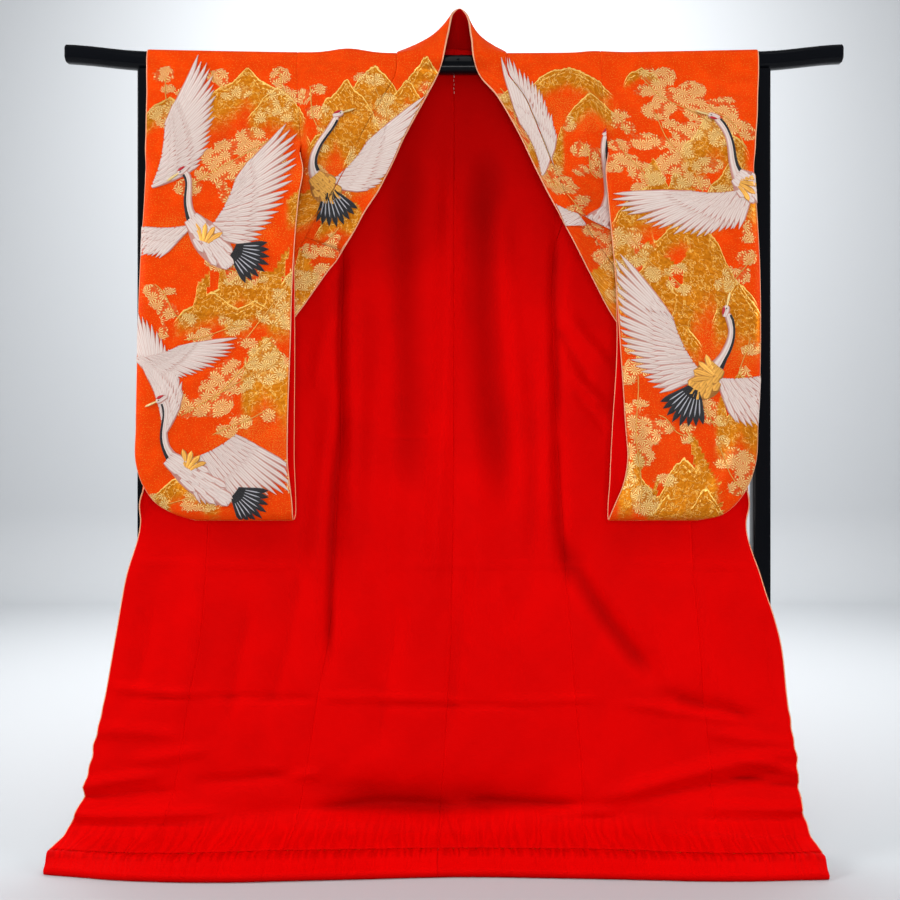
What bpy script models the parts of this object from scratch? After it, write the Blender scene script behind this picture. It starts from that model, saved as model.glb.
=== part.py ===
"""An uchikake, the long padded overcoat of a wedding kimono, spread open on a lacquered stand.

Metres, +Z up. The garment's front faces -Y and the stand's rail lies along X. Left is the side at -X.
Every cloth panel is a closed wall. It is worked out from one inner surface, on which the outer silk and the
red lining lie back to back: the silk outside it, the lining inside it, both from the same points.
"""

import math

import bmesh
import bpy
import numpy as np

for item in list(bpy.data.objects):
    bpy.data.objects.remove(item, do_unlink=True)

# ---------------------------------------------------------------- driving sizes
GAP = 0.0003  # between pieces that are sewn together
SILK = 0.0018  # thickness of the outer brocade
LINING = 0.0012
COLLAR = 0.0022  # the collar is brocade over stiffening
OVERLAY = 0.0012  # second collar, tacked over the first
FRONT_WIDTH = 0.27  # a front panel from its side seam to the overlap panel's seam
SLEEVE_SEAM_FOOT = 1.50  # height at which a sleeve leaves the body
SIDE_SEAM_TOP = 1.35  # from there to the sleeve's seam the side is open, as on every woman's kimono
SKIRT_TOP = 1.30  # each body panel is one cloth, built in two stretches that meet at this height
OKUMI_TOP = 1.35  # row in which the collar crosses the front panel's edge
OKUMI_POINT = 0.90  # how far up to that row the overlap panel's point is cut
COLLAR_FOOT = 0.88  # height of the collar's lower ends, which taper off along the overlap
BACK_SHARES = np.array([0.0, 0.12, 0.23, 0.35, 0.55, 0.78, 1.0])  # a back panel's columns
FRONT_COLUMNS, OKUMI_COLUMNS, COLLAR_COLUMNS = 8, 5, 4
FOLD_COLUMNS = 5.0  # how much closer together the columns of a front stand where it is folded open
FOLD_REACH = 0.034
FOLD_TOP = 1.40  # from here down a front is folded right round, from here up its side edge swings forward
REAR_BOW = 0.15  # how much the part behind the fold bows backward
EXTRA_ROWS = (1.475, 1.425, 1.07, 0.985, 0.735)  # where the cloth turns fast

RAIL_LENGTH = 1.665
RAIL_HALF_HEIGHT = 0.019
RAIL_HALF_DEPTH = 0.0185
RAIL_CORNER = 0.012
RAIL_Z = 1.678  # centre of the rail at the middle of its length
POST_X = 0.658
POST_HALF = 0.0185
FOOT_HALF_WIDTH = 0.030
FOOT_HEIGHT = 0.018
FOOT_FRONT, FOOT_BACK = -0.115, 0.2296
BAR_Z = 0.135
BAR_HALF = 0.014

HEM_GATHERS = 48  # puckers along the whole padded hem
HEM_ROLL = 0.012  # half the padding's depth
HEM_SEAM = 0.0013  # between the lowest row of a sloping panel and the padding


def columns(names, rows):
    """A table as one array for each named column."""
    return dict(zip(names.split(), np.array(rows, float).T))


def read(table, name, where, key="z"):
    order = np.argsort(table[key])
    return float(np.interp(where, table[key][order], table[name][order]))


def ease(t):
    t = min(max(t, 0.0), 1.0)
    return t * t * (3 - 2 * t)


def mix(a, b, t):
    return a + (b - a) * t


# How deep the body lies, from the shoulders to the floor. back: the back panels at their centre seam.
# side_back, side_front: the side edges of back and front, sewn together from 1.35 down. rear, front: the two
# arms of a front panel that is folded open, before and behind its fold.
BODY = columns(
    "z back side_back side_front rear front",
    [
        (1.66, 0.0205, 0.0205, -0.0225, 0.0000, -0.0225),
        (1.60, 0.0240, 0.0240, -0.0300, -0.0060, -0.0300),
        (1.55, 0.0260, 0.0255, -0.0380, -0.0140, -0.0380),
        (1.50, 0.0270, 0.0255, -0.0450, -0.0220, -0.0450),
        (1.45, 0.0270, 0.0245, -0.0250, -0.0210, -0.0480),
        (1.40, 0.0260, 0.0230, -0.0050, -0.0110, -0.0510),
        (1.35, 0.0250, 0.0205, 0.0205, -0.0060, -0.0530),
        (1.30, 0.0240, 0.0190, 0.0190, -0.0060, -0.0550),
        (1.22, 0.0210, 0.0160, 0.0160, -0.0080, -0.0555),
        (1.12, 0.0170, 0.0120, 0.0120, -0.0120, -0.0560),
        (1.02, 0.0120, 0.0070, 0.0070, -0.0180, -0.0565),
        (0.95, 0.0080, 0.0020, 0.0020, -0.0240, -0.0570),
        (0.88, 0.0040, -0.0020, -0.0020, -0.0290, -0.0570),
        (0.82, 0.0010, -0.0060, -0.0060, -0.0320, -0.0570),
        (0.77, -0.0020, -0.0090, -0.0090, -0.0340, -0.0560),
        (0.70, -0.0060, -0.0130, -0.0130, -0.0360, -0.0580),
        (0.58, -0.0110, -0.0190, -0.0190, -0.0400, -0.0620),
        (0.45, -0.0150, -0.0240, -0.0240, -0.0460, -0.0680),
        (0.32, -0.0180, -0.0280, -0.0280, -0.0580, -0.0800),
        (0.20, -0.0210, -0.0330, -0.0330, -0.0720, -0.0940),
        (0.12, -0.0250, -0.0400, -0.0400, -0.0860, -0.1080),
    ],
)

# The same heights across the garment, one table for each side, outward from the centre seam. side: the side
# edge, free: the front's open edge, fold: the outermost point, collar: the width of the collar's band.
ACROSS = {
    -1: columns(
        "z side fold free collar",
        [
            (1.66, 0.334, 0.334, 0.032, 0.090),
            (1.60, 0.331, 0.331, 0.060, 0.090),
            (1.55, 0.327, 0.327, 0.086, 0.092),
            (1.50, 0.323, 0.323, 0.111, 0.092),
            (1.45, 0.312, 0.314, 0.133, 0.092),
            (1.40, 0.285, 0.335, 0.158, 0.094),
            (1.35, 0.250, 0.365, 0.190, 0.094),
            (1.30, 0.243, 0.410, 0.217, 0.094),
            (1.22, 0.241, 0.445, 0.271, 0.092),
            (1.12, 0.244, 0.485, 0.343, 0.088),
            (1.02, 0.245, 0.540, 0.430, 0.082),
            (0.95, 0.244, 0.585, 0.500, 0.074),
            (0.88, 0.244, 0.622, 0.570, 0.008),
            (0.82, 0.246, 0.648, 0.628, 0.0),
            (0.77, 0.248, 0.654, 0.650, 0.0),
            (0.70, 0.251, 0.670, 0.670, 0.0),
            (0.58, 0.254, 0.689, 0.689, 0.0),
            (0.45, 0.262, 0.708, 0.708, 0.0),
            (0.32, 0.277, 0.721, 0.721, 0.0),
            (0.20, 0.288, 0.738, 0.738, 0.0),
            (0.12, 0.296, 0.748, 0.748, 0.0),
        ],
    ),
    1: columns(
        "z side fold free collar",
        [
            (1.66, 0.313, 0.313, 0.050, 0.062),
            (1.60, 0.3165, 0.3165, 0.094, 0.056),
            (1.55, 0.320, 0.320, 0.122, 0.048),
            (1.50, 0.3235, 0.3235, 0.147, 0.042),
            (1.45, 0.312, 0.314, 0.170, 0.038),
            (1.40, 0.283, 0.332, 0.194, 0.036),
            (1.35, 0.240, 0.362, 0.221, 0.038),
            (1.30, 0.222, 0.405, 0.247, 0.046),
            (1.22, 0.214, 0.440, 0.288, 0.060),
            (1.12, 0.214, 0.480, 0.343, 0.078),
            (1.02, 0.217, 0.532, 0.425, 0.080),
            (0.95, 0.220, 0.566, 0.482, 0.074),
            (0.88, 0.224, 0.592, 0.545, 0.008),
            (0.82, 0.228, 0.610, 0.592, 0.0),
            (0.77, 0.231, 0.621, 0.617, 0.0),
            (0.70, 0.236, 0.629, 0.629, 0.0),
            (0.58, 0.243, 0.653, 0.653, 0.0),
            (0.45, 0.256, 0.694, 0.694, 0.0),
            (0.32, 0.272, 0.714, 0.714, 0.0),
            (0.20, 0.290, 0.735, 0.735, 0.0),
            (0.12, 0.298, 0.746, 0.746, 0.0),
        ],
    ),
}

# Below 0.12 m the body bends forward and runs down to its padded hem. depth is a share of the hem's reach,
# and lift is added for what the sides stand proud of the middle.
SLOPE = columns("depth z", [(0.19, 0.072), (0.30, 0.053), (0.45, 0.043), (0.60, 0.034)])
HEM_REACH = columns(  # how far forward of the rail the hem's front edge lies, along X
    "x reach",
    [
        (-0.82, 0.168),
        (-0.74, 0.205),
        (-0.50, 0.230),
        (-0.15, 0.206),
        (0.00, 0.192),
        (0.25, 0.204),
        (0.55, 0.222),
        (0.74, 0.205),
    ],
)
HALF_HEM = {-1: 0.789, 1: 0.775}  # from the centre seam to each lower corner
CENTRE_SEAM = columns(  # the hem hangs a little to the left of the shoulders
    "z x",
    [
        (1.72, 0.0),
        (1.30, 0.0),
        (0.70, -0.0020),
        (0.45, -0.0065),
        (0.30, -0.0150),
        (0.17, -0.0225),
        (0.10, -0.0280),
        (0.03, -0.0340),
    ],
)

# Soft upright folds in the back panels: distance from the centre seam, half-width, depth and the heights
# between which each one shows. A fold with a minus depth goes back.
BACK_FOLDS = {
    -1: columns(
        "at half depth top foot",
        [(0.085, 0.035, 0.008, 1.60, 0.35), (0.170, 0.040, -0.006, 1.45, 0.25)],
    ),
    1: columns(
        "at half depth top foot",
        [(0.045, 0.030, 0.007, 1.58, 0.45), (0.135, 0.045, -0.008, 1.50, 0.20)],
    ),
}

# Sleeves, outward from the centre. inner and outer edges of the front layer, inner edge of the back layer.
SLEEVES = {
    -1: columns(
        "z inner outer back_inner",
        [
            (1.66, 0.3340, 0.654, 0.3340),
            (1.60, 0.3310, 0.648, 0.3310),
            (1.55, 0.3270, 0.643, 0.3270),
            (1.50, 0.3230, 0.639, 0.3230),
            (1.475, 0.3242, 0.639, 0.3300),
            (1.44, 0.3170, 0.639, 0.3360),
            (1.38, 0.3230, 0.641, 0.3400),
            (1.25, 0.3330, 0.649, 0.3350),
            (1.05, 0.3400, 0.656, 0.3330),
            (0.90, 0.3450, 0.659, 0.3340),
            (0.82, 0.3450, 0.6585, 0.3340),
            (0.775, 0.3400, 0.643, 0.3320),
            (0.74, 0.3360, 0.617, 0.3310),
            (0.716, 0.3350, 0.573, 0.3310),
            (0.706, 0.3350, 0.538, 0.3330),
        ],
    ),
    1: columns(
        "z inner outer back_inner",
        [
            (1.66, 0.3130, 0.648, 0.3130),
            (1.60, 0.3165, 0.640, 0.3165),
            (1.55, 0.3200, 0.633, 0.3200),
            (1.50, 0.3235, 0.625, 0.3235),
            (1.475, 0.3245, 0.623, 0.3300),
            (1.44, 0.3180, 0.621, 0.3360),
            (1.38, 0.3200, 0.6245, 0.3400),
            (1.25, 0.3310, 0.632, 0.3380),
            (1.05, 0.3450, 0.634, 0.3400),
            (0.90, 0.3545, 0.629, 0.3310),
            (0.82, 0.3580, 0.6235, 0.3270),
            (0.775, 0.3490, 0.608, 0.3250),
            (0.74, 0.3340, 0.584, 0.3220),
            (0.716, 0.3240, 0.553, 0.3210),
            (0.706, 0.3210, 0.507, 0.3210),
        ],
    ),
}
SLEEVE_DEPTH = columns(  # how far forward a sleeve's front layer hangs, at its inner and its outer edge
    "z inner outer",
    [
        (1.66, -0.0225, -0.0225),
        (1.60, -0.0300, -0.0450),
        (1.55, -0.0380, -0.0680),
        (1.50, -0.0450, -0.0860),
        (1.475, -0.0570, -0.0900),
        (1.44, -0.0700, -0.0940),
        (1.38, -0.0860, -0.0965),
        (1.25, -0.0960, -0.0980),
        (1.05, -0.0980, -0.0980),
        (0.70, -0.0980, -0.0980),
    ],
)
SLEEVE_HOLLOW = 0.022  # between a sleeve's layers where both hang before the posts
CUFF_FOOT = 1.46  # the hand's opening runs from the shoulder down to here
SLEEVE_CLOSE = 0.028  # width over which the two layers come together at the outer edge and the foot
SLEEVE_APART = 0.0017  # half of what stays between the layers at their seam
CROSSING = 0.12  # height in which a sleeve's back layer comes forward, from behind the rail to before it
POST_CLEAR = 0.6335  # a back layer stays inside this while it passes the post

# The collar's free edge round the neck, outward from the centre: four points beside the four rows in which
# the front goes over the rail, then those behind it. NECK_BACK is the band at the back of the neck.
NECK = {
    -1: columns(
        "u y z",
        [
            (0.023, -0.040, 1.683),
            (0.019, -0.033, 1.706),
            (0.016, -0.026, 1.722),
            (0.013, -0.016, 1.738),
            (0.008, 0.000, 1.768),
            (0.001, 0.022, 1.797),
        ],
    ),
    1: columns(
        "u y z",
        [
            (0.040, -0.040, 1.690),
            (0.039, -0.033, 1.706),
            (0.038, -0.026, 1.720),
            (0.036, -0.016, 1.735),
            (0.033, 0.000, 1.763),
            (0.025, 0.022, 1.795),
        ],
    ),
}
NECK_BEHIND = (0.75, 0.35)  # shares of the half neck at which the sewn edge follows those last points
NECK_BACK = ((0.0, 0.0345, 1.7257), (0.013, 0.036, 1.812))
NECK_GAP = 0.0008  # between the collar and the panels where it leaves their plane
COLLAR_RISE = 0.0030  # the collar's sewn edge stands this far above the back panels' edge
NECK_EDGE_Y, NECK_EDGE_Z = 0.034, 1.7235  # the back panels' upper edge at the centre seam
NECK_HALF = {-1: 0.112, 1: 0.102}  # where the neck's edge reaches the shoulder
SHOULDER_PUFF = {-1: (0.225, 0.045, 0.0090), 1: (0.300, 0.030, 0.0030)}  # place, half-width, height
OVERLAY_FOOT = {-1: 1.22, 1: 1.30}  # rows at which the second collar ends
OVERLAY_SLANT = {-1: (0.96, 0.60), 1: (0.30, 0.42)}  # how far on to the next row, at seam and free edge


# ---------------------------------------------------------------- materials
def material(name, colour, roughness, metallic=0.0):
    made = bpy.data.materials.new(name)
    made.use_nodes = True
    shader = made.node_tree.nodes["Principled BSDF"]
    shader.inputs["Base Color"].default_value = (*colour, 1.0)
    shader.inputs["Roughness"].default_value = roughness
    shader.inputs["Metallic"].default_value = metallic
    return made


BROCADE = material("brocade", (0.80, 0.10, 0.02), 0.45)
RED_SILK = material("red_silk", (0.62, 0.0, 0.0), 0.5)
LACQUER = material("lacquer", (0.008, 0.008, 0.010), 0.12)


def solid(name, points, faces, finish):
    """A closed body from its points and faces, all turned outward."""
    mesh = bpy.data.meshes.new(name)
    mesh.from_pydata([tuple(p) for p in points], [], faces)
    work = bmesh.new()
    work.from_mesh(mesh)
    bmesh.ops.recalc_face_normals(work, faces=work.faces)
    work.to_mesh(mesh)
    work.free()
    mesh.materials.append(finish)
    thing = bpy.data.objects.new(name, mesh)
    bpy.context.collection.objects.link(thing)
    mesh.shade_smooth()
    mesh.set_sharp_from_angle(angle=math.radians(40))
    return thing


def normals(grid, outside, along=None):
    """Unit normals of a grid of points, turned to the cloth's outer side by outside, 1 or -1.

    along is the direction across the cloth at each point. Where it comes from the surface itself, two panels
    that meet at a seam have the same normals there.
    """
    if along is None:
        along = np.gradient(grid, axis=1)
    across = np.cross(np.gradient(grid, axis=0), along) * outside
    return across / np.linalg.norm(across, axis=2, keepdims=True)


def wall(name, grid, facing, inner, outer, finish):
    """A closed wall between two offsets from a grid. Both faces are cut into triangles the same way."""
    rows, cols = grid.shape[:2]
    points = np.concatenate([(grid + facing * outer).reshape(-1, 3), (grid + facing * inner).reshape(-1, 3)])
    under = rows * cols
    faces = []
    for i in range(rows - 1):
        for j in range(cols - 1):
            a, b, c, d = i * cols + j, i * cols + j + 1, (i + 1) * cols + j + 1, (i + 1) * cols + j
            faces += [(a, b, c), (a, c, d)]
            faces += [(under + c, under + b, under + a), (under + d, under + c, under + a)]
    rim = list(range(cols))
    rim += [i * cols + cols - 1 for i in range(1, rows)]
    rim += [(rows - 1) * cols + j for j in range(cols - 2, -1, -1)]
    rim += [i * cols for i in range(rows - 2, 0, -1)]
    for a, b in zip(rim, rim[1:] + rim[:1]):
        if b < a:  # so that the edges of two panels that meet are cut the same way
            faces += [(b, a, under + b), (under + b, a, under + a)]
        else:
            faces += [(b, a, under + a), (b, under + a, under + b)]
    return solid(name, points, faces, finish)


def silk_and_lining(name, grid, facing):
    """One panel of brocade, and the lining panel that is sewn to its inner side."""
    wall(name, grid, facing, GAP / 2, GAP / 2 + SILK, BROCADE)
    wall(name + "_lining", grid, facing, -GAP / 2 - LINING, -GAP / 2, RED_SILK)


def long_panel(name, grid, facing, cut):
    """A panel in two stretches, parted at row cut: the upper one ends just above that row."""
    share = GAP / np.linalg.norm(grid[cut, 0] - grid[cut - 1, 0])
    upper, upper_facing = grid[: cut + 1].copy(), facing[: cut + 1].copy()
    upper[cut] = mix(grid[cut], grid[cut - 1], share)
    upper_facing[cut] = mix(facing[cut], facing[cut - 1], share)
    silk_and_lining(name, upper, upper_facing)
    silk_and_lining(name + "_skirt", grid[cut:], facing[cut:])


# ---------------------------------------------------------------- stand
def rail_centre(x):
    """The rail's centre line turns up a little towards its ends."""
    return RAIL_Z + 0.008 * (x / POST_X) ** 2 + 0.010 * ease((abs(x) - POST_X) / (RAIL_LENGTH / 2 - POST_X))


def over_rail(clear):
    """Half the rail's section from its top down one side, moved out by clear: distance outward and height."""
    flat, upright = RAIL_HALF_DEPTH - RAIL_CORNER, RAIL_HALF_HEIGHT - RAIL_CORNER
    turn = (RAIL_CORNER + clear) * math.sqrt(0.5)
    return [
        (0.0, RAIL_HALF_HEIGHT + clear),
        (flat, RAIL_HALF_HEIGHT + clear),
        (flat + turn, upright + turn),
        (RAIL_HALF_DEPTH + clear, upright),
    ]


def tube(name, rings, finish):
    """A closed body through rings of points, with flat ends."""
    count = len(rings[0])
    points = [p for ring in rings for p in ring]
    faces = [tuple(range(count)), tuple(range(len(points) - 1, len(points) - 1 - count, -1))]
    for i in range(len(rings) - 1):
        for j in range(count):
            k = (j + 1) % count
            faces.append((i * count + j, i * count + k, (i + 1) * count + k, (i + 1) * count + j))
    return solid(name, points, faces, finish)


def box(name, centre, half, heights, bevel):
    """A lacquered bar with rounded edges."""
    across = [centre[0] + half[0] * way for way in (-1, 1)]
    along = [centre[1] + half[1] * way for way in (-1, 1)]
    corners = [(x, y, z) for x in across for y in along for z in heights]
    faces = [(0, 1, 3, 2), (4, 6, 7, 5), (0, 4, 5, 1), (2, 3, 7, 6), (0, 2, 6, 4), (1, 5, 7, 3)]
    rounded = solid(name, corners, faces, LACQUER).modifiers.new("Bevel", "BEVEL")
    rounded.width = bevel
    rounded.segments = 2


def stand():
    quarter = over_rail(0.0)[1:]
    outline = quarter + [(y, -z) for y, z in reversed(quarter)]
    outline += [(-y, -z) for y, z in quarter] + [(-y, z) for y, z in reversed(quarter)]
    rings = []
    ends = np.linspace(POST_X, RAIL_LENGTH / 2, 4)
    for x in [*-ends[::-1], *np.linspace(-POST_X, POST_X, 11)[1:-1], *ends]:
        slant = 0.006 * np.sign(x) * (abs(x) > RAIL_LENGTH / 2 - 0.001) / RAIL_HALF_HEIGHT
        rings.append([(x + slant * z * 0.5, y, rail_centre(x) + z) for y, z in outline])
    tube("rail", rings, LACQUER)
    for side, word in ((-1, "left"), (1, "right")):
        x = side * POST_X
        top = rail_centre(POST_X) - RAIL_HALF_HEIGHT - 0.0008
        box(f"post_{word}", (x, 0.0), (POST_HALF, POST_HALF), (FOOT_HEIGHT + GAP, top), 0.004)
        middle, half = (FOOT_FRONT + FOOT_BACK) / 2, (FOOT_BACK - FOOT_FRONT) / 2
        box(f"foot_{word}", (x, middle), (FOOT_HALF_WIDTH, half), (0.0, FOOT_HEIGHT), 0.003)
    centre = (0.0, POST_HALF + GAP + BAR_HALF)
    box("crossbar", centre, (POST_X + POST_HALF, BAR_HALF), (BAR_Z - BAR_HALF, BAR_Z + BAR_HALF), 0.004)


# ---------------------------------------------------------------- body
REST = 0.0021  # from the rail's face to the inner surface of the cloth on it, with the lining between
TOP_ROWS = over_rail(REST)


def shoulder_puff(side, u):
    at, half, height = SHOULDER_PUFF[side]
    return height * math.exp(-(((u - at) / half) ** 2))


def place(side, u, y, z):
    return (read(CENTRE_SEAM, "x", z) + side * u, y, z)


def fold_depth(side, u, z):
    table, depth = BACK_FOLDS[side], 0.0
    for at, half, deep, top, foot in zip(*table.values()):
        shown = ease((top - z) / 0.15) * ease((z - foot) / 0.15)
        depth += deep * shown * math.exp(-(((u - at) / half) ** 2))
    return depth


def lean(u):
    """Near the floor the outer parts of the body stand further forward than its middle."""
    return -0.075 * ease((u - 0.30) / 0.42)


def front_path(side, z):
    """Half the front at one height, from the side edge to the free edge: points and lengths along them."""
    across, turned = ACROSS[side], ease((z - FOLD_TOP) / (SLEEVE_SEAM_FOOT - FOLD_TOP))
    side_u, fold, free = (read(across, name, z) for name in ("side", "fold", "free"))
    side_y, rear, front = (read(BODY, name, z) for name in ("side_front", "rear", "front"))
    radius = (rear - front) / 2
    hinge = mix(fold - radius, fold, turned)
    open_out = ease((0.80 - z) / 0.12)
    end = math.pi * (1 - open_out)
    if free > hinge and open_out < 1:
        end = min(end, math.pi - math.asin(min((free - hinge) / radius, 1.0)))
    start = min(math.pi * turned, end)
    points = []
    if turned < 1:
        last = np.array([hinge + radius * math.sin(start), rear - radius * (1 - math.cos(start))])
        first = last + (np.array([side_u, side_y]) - last) * (1 - turned)
        bow = np.array([0.0, REAR_BOW * (first[1] - last[1])])
        for t in np.linspace(0, 1, 13)[:-1]:
            points.append(first + (last - first) * t + bow * math.sin(math.pi * t))
    for turn in np.linspace(start, end, 13):
        points.append(np.array([hinge + radius * math.sin(turn), rear - radius * (1 - math.cos(turn))]))
    if free < hinge:
        points += [np.array([mix(hinge, free, t), front]) for t in np.linspace(0, 1, 13)[1:]]
    elif open_out >= 1:
        points.append(np.array([free, rear]))
    points = np.array(points)
    lengths = np.concatenate([[0], np.cumsum(np.linalg.norm(np.diff(points, axis=0), axis=1))])
    return points, lengths


def on_path(path, length):
    points, lengths = path
    return [float(np.interp(length, lengths, points[:, k])) for k in (0, 1)]


def seams(side, z, path):
    """Lengths along the front's path of the overlap panel's seam, the collar's seam and the free edge."""
    total = path[1][-1]
    collar = read(ACROSS[side], "collar", z) if z >= COLLAR_FOOT - 1e-6 else 0.0
    return min(FRONT_WIDTH, total - collar), total - collar, total


def reach_at(side, u):
    return read(HEM_REACH, "reach", side * u + CENTRE_SEAM["x"][-1], key="x")


def slope_row(side, share_across, low, high, depth, z):
    """A point of the lowest rows, which run forward over the floor, between two distances from the centre."""
    u = mix(low, high, share_across)
    middle = -reach_at(side, u) * depth
    proud = lean(u) * (1 - depth)
    return place(side, u, middle + proud, z + 0.010 * ease((u - 0.45) / 0.3) * (1 - depth))


HANGING = sorted([*BODY["z"], *EXTRA_ROWS], reverse=True)


def edges_low(side, depth):
    """Distances from the centre of the seams on the rows that run forward."""
    grow = depth / 0.6
    row = {name: ACROSS[side][name][-1] for name in ("side", "free")}
    row["okumi"] = front_seam_low(side)
    full = HALF_HEM[side] / row["free"]
    return {name: value * mix(1.0, full, grow) for name, value in row.items()}


def front_seam_low(side):
    z = HANGING[-1]
    path = front_path(side, z)
    return on_path(path, FRONT_WIDTH)[0]


def top_row(side, u, out, up, facing):
    """A point where the cloth goes over the rail. facing is -1 before the rail and 1 behind it."""
    return (side * u, facing * out, rail_centre(u) + up + shoulder_puff(side, u) * ease((up + 0.01) / 0.03))


def back_top(side, u, index):
    """A point of the back panels' highest rows. Near the centre they stand up behind the rail."""
    out, up = TOP_ROWS[index]
    x, y, z = top_row(side, u, max(out, GAP / 2), up, 1)
    standing = 1 - ease(u / NECK_HALF[side])
    level = (3 - index) / 3
    y = mix(y, mix(TOP_ROWS[3][0], NECK_EDGE_Y, level), standing)
    z = mix(z, mix(rail_centre(0) + TOP_ROWS[3][1], NECK_EDGE_Z, level), standing)
    return (x, y, z)


def back_panel(side, word):
    shares = BACK_SHARES
    edge = ACROSS[side]["side"][0] - GAP
    tops = range(len(TOP_ROWS))
    grid = [[back_top(side, GAP / 2 + share * edge, index) for share in shares] for index in tops]
    hanging = list(BODY["z"])  # its edges run straight through the other panels' extra rows
    for z in hanging:
        edge = read(ACROSS[side], "side", z) - GAP
        centre, side_y = read(BODY, "back", z), read(BODY, "side_back", z)
        row = []
        for share in shares:
            u = GAP / 2 + share * edge
            row.append(place(side, u, mix(centre, side_y, ease(share)) - fold_depth(side, u, z), z))
        grid.append(row)
    for depth, z in zip(SLOPE["depth"], SLOPE["z"]):
        edge = edges_low(side, depth)
        grid.append([slope_row(side, share, GAP / 2, edge["side"] - GAP / 2, depth, z) for share in shares])
    grid = np.array(grid)
    along = np.gradient(grid, axis=1)
    for index, z in enumerate(hanging, len(TOP_ROWS)):
        if z <= SIDE_SEAM_TOP:
            before, after = (on_path(front_path(side, z), length) for length in (0, 0.008))
            along[index, -1] = (side * (after[0] - before[0]), after[1] - before[1], 0.0)
    facing = normals(grid, -side, along)
    facing[:, 0, 0] = 0.0  # the two halves meet face to face at the centre seam
    armhole = len(TOP_ROWS) + hanging.index(SLEEVE_SEAM_FOOT) + 1
    facing[:armhole, -1, 0] = 0.0  # and so do back and sleeve
    long_panel(f"back_{word}", grid, facing, len(TOP_ROWS) + hanging.index(SKIRT_TOP))


def spread(path, first, last, count, closer):
    """Lengths along a front's path for the columns of a panel, closer together where the cloth turns."""
    points, lengths = path
    outermost = lengths[np.argmax(points[:, 0])]
    steps = np.linspace(first, last, 200)
    weight = 1 + closer * np.exp(-(((steps - outermost) / FOLD_REACH) ** 2))
    filled = np.concatenate([[0], np.cumsum((weight[1:] + weight[:-1]) / 2)])
    return np.interp(np.linspace(0, filled[-1], count), filled, steps)


def along_front(side, z, first, last, count):
    """One row of a panel between two lengths on the front's path, with the directions along it."""
    path = front_path(side, z)
    row, headings = [], []
    for length in spread(path, first, last, count, FOLD_COLUMNS * ease((z - 0.6) / 0.2)):
        u, y = on_path(path, length)
        row.append(place(side, u, y, z))
        before, after = on_path(path, max(length - 0.004, 0)), on_path(path, min(length + 0.004, path[1][-1]))
        headings.append((side * (after[0] - before[0]), after[1] - before[1], 0.0))
    return row, headings


def front_panel(side, word):
    count = FRONT_COLUMNS
    grid, headings = [], []
    outward = [(side * FRONT_WIDTH / count, 0.0, 0.0)] * count
    inward = [(-side * FRONT_WIDTH / count, 0.0, 0.0)] * count
    path = front_path(side, HANGING[0])
    first, last = GAP / 2, seams(side, HANGING[0], path)[0] - GAP / 2
    for out, up in TOP_ROWS:
        across = [on_path(path, length)[0] for length in np.linspace(first, last, count)]
        grid.append([top_row(side, u, max(out, GAP / 2), up, -1) for u in across])
        headings.append(inward)
    for z in HANGING:
        path = front_path(side, z)
        first = NECK_GAP if abs(z - SIDE_SEAM_TOP) < 0.001 else GAP / 2
        row, heading = along_front(side, z, first, seams(side, z, path)[0] - GAP / 2, count)
        grid.append(row)
        headings.append(heading)
    for depth, z in zip(SLOPE["depth"], SLOPE["z"]):
        edge = edges_low(side, depth)
        low, high = edge["side"] + GAP / 2, edge["okumi"] - GAP / 2
        grid.append([slope_row(side, t, low, high, depth, z) for t in np.linspace(0, 1, count)])
        headings.append(outward)
    grid = np.array(grid)
    facing = normals(grid, -side, np.array(headings))
    long_panel(f"front_{word}", grid, facing, len(TOP_ROWS) + HANGING.index(SKIRT_TOP))


def overlap_panel(side, word):
    """The okumi: it begins in a point where the collar crosses the front, and widens to the free edge below."""
    count = OKUMI_COLUMNS
    grid, headings = [], []
    for z in [z for z in HANGING if z < OKUMI_TOP + 0.06]:  # the first row only serves the next one's normals
        path = front_path(side, z)
        first, last, edge = seams(side, z, path)
        row, heading = along_front(side, z, first + GAP / 2, min(last, edge) - GAP / 2, count)
        grid.append(row)
        headings.append(heading)
    for depth, z in zip(SLOPE["depth"], SLOPE["z"]):
        edge = edges_low(side, depth)
        low, high = edge["okumi"] + GAP / 2, edge["free"]
        grid.append([slope_row(side, t, low, high, depth, z) for t in np.linspace(0, 1, count)])
        headings.append([(side, 0.0, 0.0)] * count)
    facing = normals(np.array(grid), -side, np.array(headings))[1:]
    grid = np.array(grid)[1:]
    grid[0], facing[0] = mix(grid[1], grid[0], OKUMI_POINT), mix(facing[1], facing[0], OKUMI_POINT)
    silk_and_lining(f"okumi_{word}", grid, facing)


# ---------------------------------------------------------------- collar
def collar_rows(side, foot):
    """The collar's points from one lower end up to the shoulder, then round to the back of the neck."""
    rows, headings = [], []
    below = max(z for z in HANGING if z < foot - 1e-6)  # one more row, so that the lowest normals are true
    for z in sorted(z for z in HANGING if z >= below):
        _, first, last = seams(side, z, front_path(side, z))
        start = first + (NECK_GAP if z < COLLAR_FOOT + 0.001 else GAP / 2)
        row, heading = along_front(side, z, start, last, COLLAR_COLUMNS)
        rows.append(row)
        headings.append(heading)
    path = front_path(side, HANGING[0])
    shoulder_u = on_path(path, seams(side, HANGING[0], path)[1])[0] - NECK_GAP
    sewn = [top_row(side, shoulder_u, out, up, -1) for out, up in TOP_ROWS[::-1]]
    sewn[-1] = tuple(np.array(sewn[-1]) + (0.0, -NECK_GAP, COLLAR_RISE))
    for share in NECK_BEHIND:
        x, y, z = back_top(side, shoulder_u * share, 0)
        sewn.append((x, y, z + COLLAR_RISE))
    for start, u, y, z in zip(sewn, *NECK[side].values()):
        row = band(start, (side * u, y, z))
        rows.append(row)
        headings.append([np.subtract(row[-1], row[0])] * COLLAR_COLUMNS)
    return rows, headings


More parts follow.
